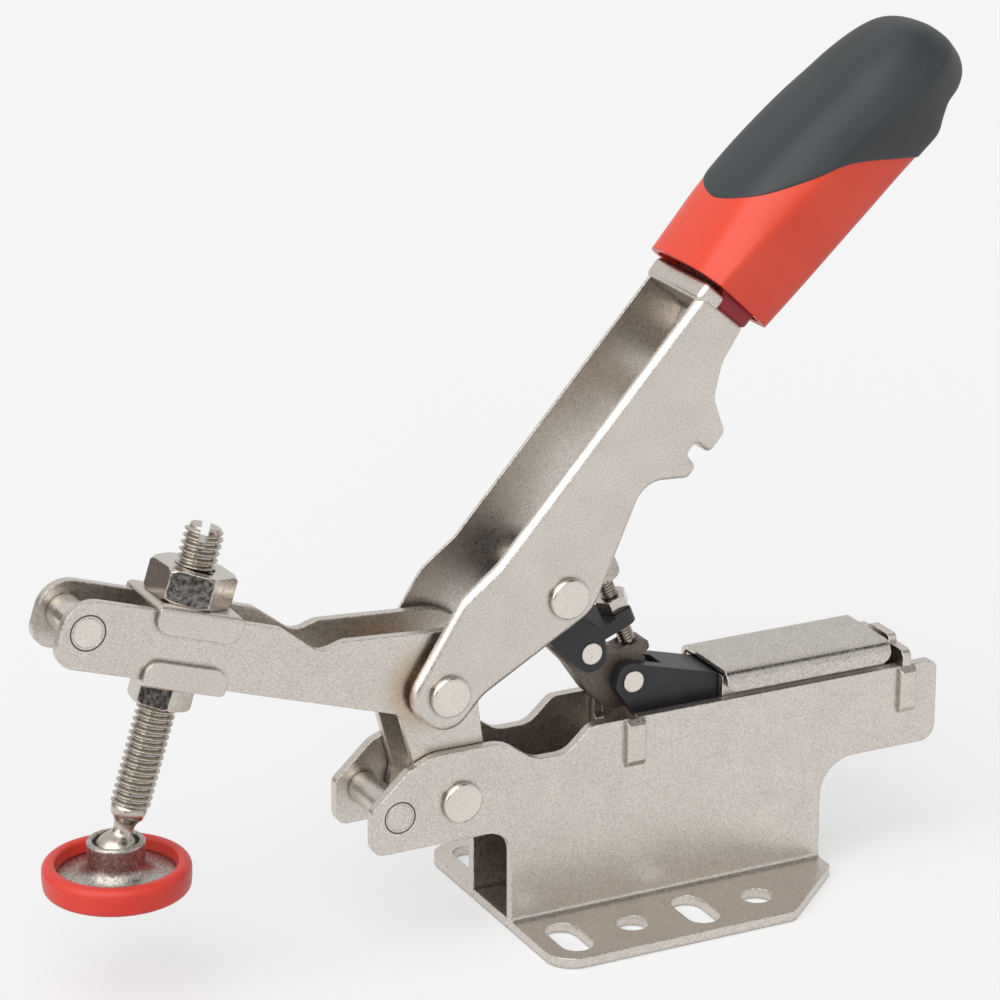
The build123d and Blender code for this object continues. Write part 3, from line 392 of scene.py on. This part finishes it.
def grow(name, tree, sizes):
    """Run a geometry tree with named sizes and keep what it makes as a plain mesh."""
    seed = bpy.data.objects.new(name + "_seed", bpy.data.meshes.new(name + "_seed"))
    bpy.context.scene.collection.objects.link(seed)
    grower = seed.modifiers.new("grow", "NODES")
    grower.node_group = tree
    for socket in tree.interface.items_tree:
        if socket.in_out == "INPUT" and socket.name in sizes:
            grower[socket.identifier] = sizes[socket.name]
    seed.update_tag()
    bpy.context.view_layer.update()
    ready = seed.evaluated_get(bpy.context.evaluated_depsgraph_get())
    mesh = bpy.data.meshes.new_from_object(ready)
    mesh.name = name
    bpy.data.objects.remove(seed)
    return mesh


def lathe(profile, sides=64):
    """A turned shape about Z, closed at both ends, from radius and height in millimetres."""
    shape = bmesh.new()
    rings = []
    for radius, height in profile:
        if radius == 0:
            rings.append([shape.verts.new((0, 0, height / 1000))])
        else:
            rings.append([shape.verts.new((
                radius * cos(2 * pi * i / sides) / 1000,
                radius * sin(2 * pi * i / sides) / 1000, height / 1000)) for i in range(sides)])
    for low, high in zip(rings, rings[1:]):
        for i in range(sides):
            j = (i + 1) % sides
            corners = [low[i % len(low)], low[j % len(low)],
                       high[j % len(high)], high[i % len(high)]]
            shape.faces.new(list(dict.fromkeys(corners)))
    bmesh.ops.recalc_face_normals(shape, faces=shape.faces)
    return shape


def arc(centre, radius, start, end, steps):
    """Points on a circle, radius and height, from one angle to another in degrees."""
    return [(centre[0] + radius * cos(radians(start + (end - start) * i / steps)),
             centre[1] + radius * sin(radians(start + (end - start) * i / steps)))
            for i in range(steps + 1)]


def standing(x, z, lean):
    """Placing of a turned piece: foot of its axis in the middle plane, lean back in degrees."""
    return Matrix.Translation((x / 1000, 0, z / 1000)) @ Matrix.Rotation(radians(lean), 4, "Y")


def piece(name, mesh, body, slot, *stands_for, material, sharp=30.0):
    """A finished piece: smooth with sharp edges, riding on its body in place of CAD nodes."""
    if isinstance(mesh, bmesh.types.BMesh):
        shape = mesh
        mesh = bpy.data.meshes.new(name)
        shape.to_mesh(mesh)
        shape.free()
    mesh.materials.clear()
    mesh.materials.append(material)
    mesh.shade_smooth()
    mesh.set_sharp_from_angle(angle=radians(sharp))
    made = bpy.data.objects.new(name, mesh)
    bpy.context.scene.collection.objects.link(made)
    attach(made, body)
    if stands_for:
        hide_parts(*stands_for)


def join(*parts):
    """Bring meshes and turned shapes together in one."""
    shape = bmesh.new()
    for part in parts:
        if isinstance(part, bmesh.types.BMesh):
            held = bpy.data.meshes.new("held")
            part.to_mesh(held)
            part = held
        shape.from_mesh(part)
    return shape


def cut_box(shape, placing, sizes):
    """Cut a box, given by its placing and its millimetre sizes, out of a closed shape."""
    body = bpy.data.objects.new("cut_body", bpy.data.meshes.new("cut_body"))
    shape.to_mesh(body.data)
    tool_shape = bmesh.new()
    bmesh.ops.create_cube(tool_shape, size=0.001, matrix=placing @ Matrix.Diagonal((*sizes, 1)))
    tool = bpy.data.objects.new("cut_tool", bpy.data.meshes.new("cut_tool"))
    tool_shape.to_mesh(tool.data)
    for thing in (body, tool):
        bpy.context.scene.collection.objects.link(thing)
    knife = body.modifiers.new("knife", "BOOLEAN")
    knife.object = tool
    knife.operation = "DIFFERENCE"
    knife.solver = "EXACT"
    bpy.context.view_layer.update()
    ready = body.evaluated_get(bpy.context.evaluated_depsgraph_get())
    mesh = bpy.data.meshes.new_from_object(ready)
    for thing in (body, tool):
        bpy.data.objects.remove(thing)
    return mesh


thread_steel = rolled_plate(
    "rolled_thread_steel", tone="#CFC7BC", deep="#AFA79B", edge="#F4EFE6",
    grain=0.35, rough=0.27, bump=0.3, wear=0.12, hollows=0.0009)
thread_tree = screw_thread_tree(thread_steel)
arm_raised = 17.7
spindle_foot = (-104.44, 51.81)    # where its axis crosses the arm's own level line
spindle_top = 45.8
thread_end = -13.3
pitch = 25.4 / 18
rod_radius = 4.0
slot_width = 1.7
slot_depth = 2.8
slot_turn = -25
thread = grow("spindle_thread", thread_tree, {
    "Pitch": pitch / 1000, "Radius": rod_radius / 1000, "Depth": pitch * 0.55 / 1000,
    "Length": (spindle_top - thread_end) / 1000, "End Radius": 0.0030, "Sides": 44})
ball = 4.8
ball_centre = -22.8
collar = 3.62                      # radius where the thread has run out
waist = lathe([(0, thread_end + 1.1), (3.3, thread_end + 1.1),
               (collar, thread_end + 0.7), (collar, thread_end + 0.1)]
              + arc((5.4, thread_end - 3.9), 3.4, 130, 200, 12)
              + arc((0, ball_centre), ball, 62, -90, 22)[1:-1] + [(0, ball_centre - ball)])
shape = bmesh.new()
shape.from_mesh(thread)
bmesh.ops.translate(shape, verts=shape.verts, vec=(0, 0, thread_end / 1000))
slot_at = Matrix.Translation((0, 0, spindle_top / 1000))
threaded = cut_box(shape, slot_at @ Matrix.Rotation(radians(slot_turn), 4, "Z"),
                   (slot_width, 3 * rod_radius, 2 * slot_depth))
spindle_shape = join(threaded, waist)
bmesh.ops.transform(
    spindle_shape, matrix=standing(*spindle_foot, arm_raised), verts=spindle_shape.verts)
piece("threaded_spindle", spindle_shape, "arm", "bright_steel", "spindle",
      material=thread_steel, sharp=40)


# ---------------------------------------------------------------- adjusting screw
# A fine-threaded screw with a knurled head and a hex socket; it sets how far
# the link folds, and a nut locks it.

def knurled_head_tree(material):
    """A rolled diamond knurl round a short cylinder, closed by flat ends."""
    tree = bpy.data.node_groups.new("knurled_head", "GeometryNodeTree")
    group_inputs(tree, {"Radius": 0.004, "Length": 0.0034, "Depth": 0.0003,
                        "Ridges": 26, "Sides": 104, "Rows": 12})
    size = add(tree, "NodeGroupInput").outputs
    maths = sums_in(tree)
    wall = add(tree, "GeometryNodeMeshCylinder", {
        "Vertices": size["Sides"], "Side Segments": size["Rows"], "Radius": size["Radius"],
        "Depth": size["Length"]}, fill_type="NGON")
    spot = add(tree, "ShaderNodeSeparateXYZ", {
        "Vector": add(tree, "GeometryNodeInputPosition").outputs[0]})
    angle = maths("ARCTAN2", spot.outputs["Y"], spot.outputs["X"])
    wave = maths("MULTIPLY", angle, size["Ridges"])
    climb = maths("MULTIPLY", maths("DIVIDE", spot.outputs["Z"], size["Radius"]), size["Ridges"])
    left = maths("ABSOLUTE", maths("SINE", maths("MULTIPLY", maths("ADD", wave, climb), 0.5)))
    right = maths("ABSOLUTE", maths("SINE", maths("MULTIPLY", maths("SUBTRACT", wave, climb), 0.5)))
    high = maths("MULTIPLY", left, right)
    from_middle = maths("ABSOLUTE", spot.outputs["Z"])
    end = maths("DIVIDE", from_middle, maths("MULTIPLY", size["Length"], 0.5))
    fade = maths("LESS_THAN", end, 0.97)
    sunk = maths("MULTIPLY", size["Depth"], maths("MULTIPLY", maths("SUBTRACT", high, 1.0), fade))
    edge = maths("MULTIPLY", maths("SUBTRACT", 1.0, fade), -0.00025)
    grown = maths("ADD", 1.0, maths("DIVIDE", maths("ADD", sunk, edge), size["Radius"]))
    placed = add(tree, "ShaderNodeCombineXYZ", {
        "X": maths("MULTIPLY", spot.outputs["X"], grown),
        "Y": maths("MULTIPLY", spot.outputs["Y"], grown), "Z": spot.outputs["Z"]})
    rolled = add(tree, "GeometryNodeSetPosition", {
        "Geometry": wall.outputs["Mesh"], "Position": placed.outputs[0]})
    real = add(tree, "GeometryNodeRealizeInstances", {"Geometry": rolled.outputs[0]})
    made = add(tree, "GeometryNodeSetMaterial", {
        "Geometry": real.outputs[0], "Material": material})
    add(tree, "NodeGroupOutput", {"Geometry": made.outputs[0]})
    return tree


screw_lean = -22.0
screw_tip = (2.4, 55.4)
screw_length = 19.8
head_height = 3.4
head_overlap = 0.4                 # how far the shank reaches into the head
socket_flats = 2.5
socket_depth = 1.8
shank = grow("screw_shank", thread_tree, {
    "Pitch": 0.0007, "Radius": 0.00175, "Depth": 0.00038,
    "Length": (screw_length - (head_height - head_overlap)) / 1000,
    "End Radius": 0.0013, "Sides": 28})
head = grow("screw_head", knurled_head_tree(thread_steel), {
    "Radius": 0.0040, "Length": head_height / 1000})
shape = bmesh.new()
shape.from_mesh(head)
bmesh.ops.translate(shape, verts=shape.verts, vec=(0, 0, (screw_length - head_height / 2) / 1000))
for turn in (0, 60, 120):
    cut = Matrix.Translation((0, 0, screw_length / 1000)) @ Matrix.Rotation(radians(turn), 4, "Z")
    socketed = cut_box(shape, cut, (socket_flats / sqrt(3), socket_flats, 2 * socket_depth))
    shape.free()
    shape = bmesh.new()
    shape.from_mesh(socketed)
screw_shape = join(shank, shape)
bmesh.ops.transform(
    screw_shape, matrix=standing(*screw_tip, screw_lean), verts=screw_shape.verts)
piece("knurled_adjusting_screw", screw_shape, "link", "bright_steel", "adjusting_screw",
      material=thread_steel, sharp=35)


# ---------------------------------------------------------------- foot
# A pressed steel disc with a socket that is rolled over the ball, in a moulded
# red cap that grips its rim.

def moulded(name, tone, light, rough, spark):
    """A moulded polymer: even colour, with the fine spark-eroded skin of its tool."""
    material, tree = new_material(name)
    place = add(tree, "ShaderNodeTexCoord").outputs["Object"]
    skin_grain = add(tree, "ShaderNodeTexNoise", {
        "Vector": place, "Scale": per_metre(spark), "Detail": 2.0})
    flow = add(tree, "ShaderNodeTexNoise", {
        "Vector": place, "Scale": per_metre(14.0), "Detail": 2.0})
    drift = add(tree, "ShaderNodeMapRange", {
        "Value": flow.outputs["Fac"], "From Min": 0.3, "From Max": 0.7})
    tint = add(tree, "ShaderNodeMix", {
        0: drift.outputs["Result"], 6: colour(tone), 7: colour(light)}, data_type="RGBA")
    shade = add(tree, "ShaderNodeMapRange", {
        "Value": skin_grain.outputs["Fac"], "To Min": 0.94, "To Max": 1.06})
    body = add(tree, "ShaderNodeHueSaturation", {
        "Value": shade.outputs["Result"], "Color": tint.outputs[2]})
    rounded = add(tree, "ShaderNodeBevel", {"Radius": 0.0004}, samples=6)
    relief = add(tree, "ShaderNodeBump", {
        "Strength": 0.3, "Distance": spark * 0.05 / 1000, "Height": skin_grain.outputs["Fac"],
        "Normal": rounded.outputs["Normal"]})
    shader = add(tree, "ShaderNodeBsdfPrincipled", {
        "Base Color": body.outputs["Color"], "Metallic": 0.0, "IOR": 1.5, "Roughness": rough,
        "Normal": relief.outputs["Normal"]})
    add(tree, "ShaderNodeOutputMaterial", {"Surface": shader.outputs["BSDF"]})
    return material


ball_above = 7.1                   # from the underside of the foot
foot_at = (spindle_foot[0] + ball_centre * sin(radians(arm_raised)),
           spindle_foot[1] + ball_centre * cos(radians(arm_raised)) - ball_above)
cap_rim = 14.85
cap_shape = lathe([(0, 0), (13.5, 0)] + arc((13.6, 1.1), 1.1, -90, 0, 6)
                  + [(cap_rim, 2.6), (cap_rim, 3.8)]
                  + arc((13.25, 4.2), 1.6, 0, 90, 8) + arc((12.8, 5.1), 0.7, 90, 180, 5)
                  + [(12.0, 3.06), (12.7, 3.06), (12.7, 1.55), (0, 1.55)], sides=128)
bmesh.ops.transform(cap_shape, matrix=standing(*foot_at, 0), verts=cap_shape.verts)
red_rubber = moulded("red_moulded_rubber", "#D8362A", "#DE3F32", 0.40, 0.5)
piece("foot_cap_moulding", cap_shape, "foot", "red_rubber", "foot_pad",
      material=red_rubber, sharp=50)

ball_play = 0.09
bowl = ball + ball_play
socket_shape = lathe([(0, 1.6), (12.4, 1.6), (12.65, 1.85), (12.65, 2.7), (12.35, 3.0),
                      (10.6, 3.05)]
                     + arc((8.6, 5.95), 2.9, -90, -180, 12)
                     + [(5.75, 9.3)] + arc((5.2, 9.75), 0.65, -10, 165, 10) + [(4.5, 9.4)]
                     + arc((0, ball_above), bowl, 27, -90, 16)[:-1]
                     + [(0, ball_above - bowl)], sides=96)
bmesh.ops.transform(socket_shape, matrix=standing(*foot_at, 0), verts=socket_shape.verts)
pressed_steel = rolled_plate(
    "pressed_nickel_foot", tone="#C9C3BC", deep="#8F8881", edge="#EDE8E1",
    grain=0.55, rough=0.36, bump=1.3)
piece("pressed_foot_socket", socket_shape, "foot", "bright_steel", "foot_socket",
      material=pressed_steel, sharp=40)


# ---------------------------------------------------------------- staked spacer ends
# The spacers at the nose and at the arm's tip are staked flush with the plates,
# which leaves a fine groove round each end.  A thin dark ring of painted shade stands
# for the groove's shadow, a hair proud and wider than the real one, so that it shows.

ring_half = 0.16
ring_crown = 0.08
ring_sunk = -0.3


def staked_ring(name, node, radius, body):
    """Two rings, one round each end of a spacer, where it meets the outer faces."""
    low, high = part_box(node)
    rings = []
    for face, turn in ((low[1], 90), (high[1], -90)):
        ring = lathe([(radius - ring_half, ring_sunk), (radius + ring_half, ring_sunk),
                      (radius + ring_half, 0.015), (radius + ring_crown, 0.045),
                      (radius - ring_crown, 0.045), (radius - ring_half, 0.015),
                      (radius - ring_half, ring_sunk)], sides=72)
        bmesh.ops.remove_doubles(ring, verts=ring.verts, dist=0.000001)
        bmesh.ops.recalc_face_normals(ring, faces=ring.faces)
        place = Matrix.Translation(((low[0] + high[0]) / 2, face, (low[2] + high[2]) / 2))
        placing = place @ Matrix.Rotation(radians(turn), 4, "X")
        bmesh.ops.transform(ring, matrix=placing, verts=ring.verts)
        rings.append(ring)
    piece(name, join(*rings), body, "plated_steel", material=groove_grime)


# Painted shade: a dark colour for the shadow in the staked groove.
groove_grime = moulded("dried_oil_in_groove", "#4E4842", "#5A534C", 0.7, 0.4)
staked_ring("tip_spacer_grooves", "tip_spacer", 3.55, "arm")
staked_ring("nose_spacer_grooves", "nose_spacer", 3.3, "base")


# ---------------------------------------------------------------- handle
# A channel folded from 2 mm strip, its web closed at the back near the grip.
# Plated with the base, and riveted to the arm and to the link.

finish(nickel_plate, "handle_channel")


# ---------------------------------------------------------------- grip
# A hard red moulding over the tang with a ridge along each side, and a soft dark
# grey cover moulded over its back and palm end.  They meet at a fine raised seam.

grip_red = moulded("red_moulded_nylon", "#E5432A", "#EA4C32", 0.34, 0.45)
grip_grey = moulded("grey_soft_cover", "#2F3336", "#34383B", 0.50, 0.4)
handle_pivot = (-43.9, 55.4)
handle_angle = 48.0

# Sections along the handle: distance, crown, ridge height, half width, underside and
# the underside's half width.
grip_sections = (
    (97.5, 12.9, 8.2, 14.3, -9.6, 11.3),
    (104.0, 13.3, 7.6, 14.5, -10.2, 11.5),
    (112.0, 13.8, 6.7, 14.7, -10.9, 11.7),
    (121.0, 13.6, 5.5, 14.8, -11.7, 11.7),
    (130.0, 12.7, 4.0, 14.8, -12.6, 11.6),
    (139.0, 11.3, 2.2, 14.8, -13.4, 11.5),
    (146.0, 9.8, 0.4, 14.7, -14.2, 11.4),
    (150.5, 9.0, -1.0, 14.5, -14.7, 11.1),
    (153.6, 8.3, -2.0, 14.2, -13.5, 10.8),
    (156.8, 7.4, -2.9, 13.7, -12.4, 10.4),
    (160.2, 6.2, -3.6, 12.7, -12.6, 9.7),
    (163.2, 4.6, -4.2, 11.1, -12.2, 8.4),
    (165.5, 2.2, -4.6, 8.8, -11.1, 6.5),
    (167.1, -1.0, -4.8, 5.5, -9.2, 3.9),
    (167.8, -4.9, -5.0, 0.02, -5.1, 0.02),
)


def hoop(crown, ridge, half, under, under_half):
    """Control points of half a section, from the crown's middle round to the underside's."""
    return [(0, crown), (0.42 * half, crown), (0.78 * half, crown - 0.22 * (crown - ridge)),
            (0.99 * half, ridge + 0.08 * (crown - ridge)),
            (1.0 * half, ridge - 0.06 * (crown - ridge)),
            (0.5 * (half + under_half), 0.5 * (ridge + under)),
            (under_half, under + 0.14 * (ridge - under)),
            (0.88 * under_half, under), (0.4 * under_half, under), (0, under)]


def blend(points, at, spline):
    """A value on a uniform cubic through or near a row of points, its place counted in them."""
    first = min(max(int(at), 0), len(points) - 2)
    t = at - first
    four = [points[min(max(first + k, 0), len(points) - 1)] for k in (-1, 0, 1, 2)]
    if spline == "near":
        weights = ((1 - t) ** 3 / 6, (3 * t ** 3 - 6 * t ** 2 + 4) / 6,
                   (-3 * t ** 3 + 3 * t ** 2 + 3 * t + 1) / 6, t ** 3 / 6)
    else:
        weights = ((-t + 2 * t * t - t ** 3) / 2, (2 - 5 * t * t + 3 * t ** 3) / 2,
                   (t + 4 * t * t - 3 * t ** 3) / 2, (t ** 3 - t * t) / 2)
    return [sum(w * p[k] for w, p in zip(weights, four)) for k in range(len(points[0]))]


def grip_point(station, round_at, proud=0.0):
    """A point of the grip: station counts sections, round_at control points from the crown."""
    section = blend(grip_sections, station, "through")
    half_loop = hoop(*section[1:])
    before, after = half_loop[1], half_loop[-2]
    loop = [(-before[0], before[1])] + half_loop + [(-after[0], after[1])]
    side, up = blend(loop, abs(round_at) + 1, "near")
    shrink = 1 + proud / max(section[3], 4.0)
    side, up = side * shrink, (up - section[2]) * shrink + section[2]
    turn = radians(handle_angle)
    out = section[0]
    return ((handle_pivot[0] + out * cos(turn) - up * sin(turn)) / 1000,
            (-side if round_at >= 0 else side) / 1000,
            (handle_pivot[1] + out * sin(turn) + up * cos(turn)) / 1000)


def station_at(distance):
    """The station whose section lies at a distance along the handle."""
    low, high = 0.0, len(grip_sections) - 1.0
    for _ in range(40):
        middle = (low + high) / 2
        if blend(grip_sections, middle, "through")[0] < distance:
            low = middle
        else:
            high = middle
    return low


# How far along the handle the seam lies, at each control point from crown to underside.
seam = [(d,) for d in (111.9, 113.4, 117.2, 125.6, 132.2, 138.4, 142.7, 144.2, 145.2, 145.5)]
around = 108
last_point = len(seam) - 1


def grip_skin(rows):
    """A mesh wrapped round the grip: a row gives each point's station and height."""
    shape = bmesh.new()
    rings = []
    for row in rows:
        ring = []
        for i in range(around):
            place = 2 * last_point * i / around
            round_at = place if place <= last_point else place - 2 * last_point
            edge = station_at(blend(seam, abs(round_at), "through")[0])
            ring.append(shape.verts.new(grip_point(*row(edge, round_at))))
        rings.append(ring)
    for low, high in zip(rings, rings[1:]):
        for i in range(around):
            j = (i + 1) % around
            shape.faces.new((low[i], low[j], high[j], high[i]))
    bmesh.ops.remove_doubles(shape, verts=shape.verts, dist=0.00002)
    shape.normal_update()
    middle = sum((vert.co for vert in shape.verts), Vector()) / len(shape.verts)
    if sum(face.normal.dot(face.calc_center_median() - middle) for face in shape.faces) < 0:
        bmesh.ops.reverse_faces(shape, faces=shape.faces)
    return shape


def between(start, end, part):
    """The value a part of the way from start to end."""
    return start + (end - start) * part


def thickened(name, shape, wall, body, slot, *stands_for, material):
    """A moulded shell: the skin given a wall inwards, kept as a plain mesh."""
    draft = bpy.data.objects.new(name + "_draft", bpy.data.meshes.new(name + "_draft"))
    shape.to_mesh(draft.data)
    shape.free()
    bpy.context.scene.collection.objects.link(draft)
    solid = draft.modifiers.new("wall", "SOLIDIFY")
    solid.thickness = wall / 1000
    solid.offset = -1
    solid.use_even_offset = False
    bpy.context.view_layer.update()
    ready = draft.evaluated_get(bpy.context.evaluated_depsgraph_get())
    mesh = bpy.data.meshes.new_from_object(ready)
    bpy.data.objects.remove(draft)
    piece(name, mesh, body, slot, *stands_for, material=material, sharp=50)


steps = 14
mouth_rows = [lambda edge, at, p=p: (between(0.0, edge, p), at, h)
              for p, h in [(0.0, -0.35), (0.012, -0.08), (0.03, 0.0)]
              + [(k / steps, 0.0) for k in range(1, steps)] + [(0.99, 0.0), (1.02, -0.15)]]
body_wall = 1.6
thickened("grip_body_moulding", grip_skin(mouth_rows), body_wall, "handle", "red_plastic",
          "grip_body", material=grip_red)

end_station = len(grip_sections) - 1.0
cover_steps = 34
cover_proud = 0.15
cover_rows = [lambda edge, at, p=p, h=h: (between(edge, end_station, p), at, h)
              for p, h in [(0.0, -0.2), (0.0015, 0.0), (0.006, 0.12), (0.013, cover_proud)]
              + [(k / cover_steps, cover_proud * (1 - k / cover_steps))
                 for k in range(1, cover_steps + 1)]]
cover_wall = 1.4
thickened("grip_cover_moulding", grip_skin(cover_rows), cover_wall, "handle", "grey_rubber",
          "grip_cover", material=grip_grey)


# ---------------------------------------------------------------- grip sleeve and tang
# Under the mouth of the grip the end of the channel is folded in, and a sleeve of the
# grip's red moulding closes the gap below it, coloured dark red as painted shade.

def handle_block(out_from, out_to, low, high, half, bevel):
    """A bevelled block given along and across the handle, in millimetres."""
    shape = bmesh.new()
    bmesh.ops.create_cube(shape, size=1.0)
    for vert in shape.verts:
        vert.co = (between(out_from, out_to, vert.co.x + 0.5) / 1000,
                   vert.co.y * 2 * half / 1000, between(low, high, vert.co.z + 0.5) / 1000)
    bmesh.ops.bevel(shape, geom=shape.edges[:], offset=bevel / 1000, segments=4, profile=0.5,
                    affect="EDGES")
    bmesh.ops.recalc_face_normals(shape, faces=shape.faces)
    bmesh.ops.transform(shape, matrix=standing(*handle_pivot, -handle_angle), verts=shape.verts)
    return shape


# Painted shade: the sleeve's dark red is the grip's red as it looks in shadow.
sleeve_red = moulded("dark_red_sleeve", "#8E1F2C", "#9A2632", 0.36, 0.5)
sleeve_shape = handle_block(94.2, 99.0, low=-4.6, high=5.0, half=10.7, bevel=1.1)
shoulder_shape = handle_block(92.4, 97.35, low=3.4, high=9.3, half=11.0, bevel=1.4)
piece("grip_sleeve", sleeve_shape, "handle", "red_plastic", material=sleeve_red)
piece("tang_shoulder", shoulder_shape, "handle", "plated_steel", material=nickel_plate)


# ---------------------------------------------------------------- studio
# A pale floor in an even tent of light, one wide soft sun from the upper left, and
# three panels, two dark and one grey, that only reflections see.

def pale_ray(tree):
    """One for a camera, glossy or transmission ray, nought for any other."""
    path = add(tree, "ShaderNodeLightPath").outputs
    either = add(tree, "ShaderNodeMath", {
        0: path["Is Camera Ray"], 1: path["Is Glossy Ray"]}, operation="MAXIMUM")
    any_of_them = add(tree, "ShaderNodeMath", {
        0: either.outputs["Value"], 1: path["Is Transmission Ray"]}, operation="MAXIMUM")
    return any_of_them.outputs["Value"]


def floor_material():
    """A matt floor that shows pale to the eye and in reflections, and keeps its shadow."""
    material, tree = new_material("pale_floor")
    seen = pale_ray(tree)
    paint = add(tree, "ShaderNodeMix", {
        0: seen, 6: colour("#BEBEBE"), 7: colour("#FAFAFA")}, data_type="RGBA")
    matt = add(tree, "ShaderNodeBsdfDiffuse", {"Color": paint.outputs[2]})
    pale = add(tree, "ShaderNodeEmission", {"Color": colour("#F7F7F7"), "Strength": 1.0})
    share = add(tree, "ShaderNodeMath", {0: seen, 1: 0.55}, operation="MULTIPLY")
    both = add(tree, "ShaderNodeMixShader", {"Fac": share.outputs["Value"]})
    tree.links.new(matt.outputs["BSDF"], both.inputs[1])
    tree.links.new(pale.outputs[0], both.inputs[2])
    add(tree, "ShaderNodeOutputMaterial", {"Surface": both.outputs["Shader"]})
    return material


def flat_panel(name, corners, material):
    """One flat face of the studio, which is no part of the clamp."""
    mesh = bpy.data.meshes.new(name)
    mesh.from_pydata(corners, [], [tuple(range(len(corners)))])
    mesh.materials.append(material)
    panel = bpy.data.objects.new(name, mesh)
    bpy.context.scene.collection.objects.link(panel)
    return panel


reach = 6.0
floor_at = -0.0002
flat_panel("studio_floor", [(-reach, -reach, floor_at), (reach, -reach, floor_at),
                            (reach, reach, floor_at), (-reach, reach, floor_at)], floor_material())


def wall_paint(name, code):
    """An even glow of one colour, for a studio wall."""
    material, tree = new_material(name)
    glow = add(tree, "ShaderNodeEmission", {"Color": colour(code), "Strength": 1.0})
    add(tree, "ShaderNodeOutputMaterial", {"Surface": glow.outputs[0]})
    return material


wall_material = wall_paint("dark_wall", "#3A3A3C")
grey_material = wall_paint("grey_wall", "#7E7672")
eye_at = Vector((-0.356533, -0.660926, 0.349129))
aim = Vector((0.421109, 0.844728, -0.330306))


def reflected_only(panel):
    """Lets a panel show in reflections, and nowhere else."""
    panel.visible_camera = False
    panel.visible_diffuse = False
    panel.visible_shadow = False
    panel.visible_transmission = False


def facing_panel(name, middle, direction, width, height, material):
    """A panel that faces back along a direction, with its middle at a place in metres."""
    towards = Vector(direction).normalized()
    side = towards.cross(Vector((0, 0, 1))).normalized()
    up = side.cross(towards)
    corners = [Vector(middle) + side * x * width / 2 + up * z * height / 2
               for x, z in ((-1, -1), (1, -1), (1, 1), (-1, 1))]
    reflected_only(flat_panel(name, corners, material))


for name, middle, direction, width, height, material in (
        ("studio_wall_front_left", (-0.42, -0.50, 0.13), (-0.60, -0.80, 0),
         0.46, 0.26, wall_material),
        ("studio_wall_back_left", (-0.49, 0.45, 0.12), (-0.66, 0.75, 0),
         0.36, 0.24, grey_material),
        ("studio_wall_above", (0.36, -0.28, 0.80), (0.42, -0.33, 0.845),
         0.55, 0.45, wall_material)):
    facing_panel(name, middle, direction, width, height, material)

world = bpy.data.worlds.new("studio_tent")
bpy.context.scene.world = world
world.use_nodes = True
world.node_tree.nodes.clear()
strength = add(world.node_tree, "ShaderNodeMapRange", {
    "Value": pale_ray(world.node_tree), "To Min": 0.50, "To Max": 0.76})
tent = add(world.node_tree, "ShaderNodeBackground", {
    "Color": colour("#FFFFFF"), "Strength": strength.outputs["Result"]})
add(world.node_tree, "ShaderNodeOutputWorld", {"Surface": tent.outputs["Background"]})


def soft_sun(name, towards, strength, spread):
    """A broad lamp far away; towards is the way its light travels."""
    lamp = bpy.data.lights.new(name, "SUN")
    lamp.energy = strength
    lamp.angle = radians(spread)
    lamp.specular_factor = 0.5
    holder = bpy.data.objects.new(name, lamp)
    holder.rotation_euler = Vector(towards).to_track_quat("-Z", "Y").to_euler()
    bpy.context.scene.collection.objects.link(holder)


soft_sun("key", (0.60, 0.45, -0.65), 2.1, 80)

eye = bpy.data.cameras.new("camera")
eye.sensor_width = 36.0
eye.lens = 3900 / 1000 * eye.sensor_width      # focal length as a share of the frame's width
eye.clip_start = 0.05
eye.clip_end = 20.0
camera = bpy.data.objects.new("camera", eye)
camera.location = eye_at
camera.rotation_euler = aim.to_track_quat("-Z", "Y").to_euler()
bpy.context.scene.collection.objects.link(camera)
bpy.context.scene.camera = camera

bpy.context.scene.view_settings.view_transform = "Standard"
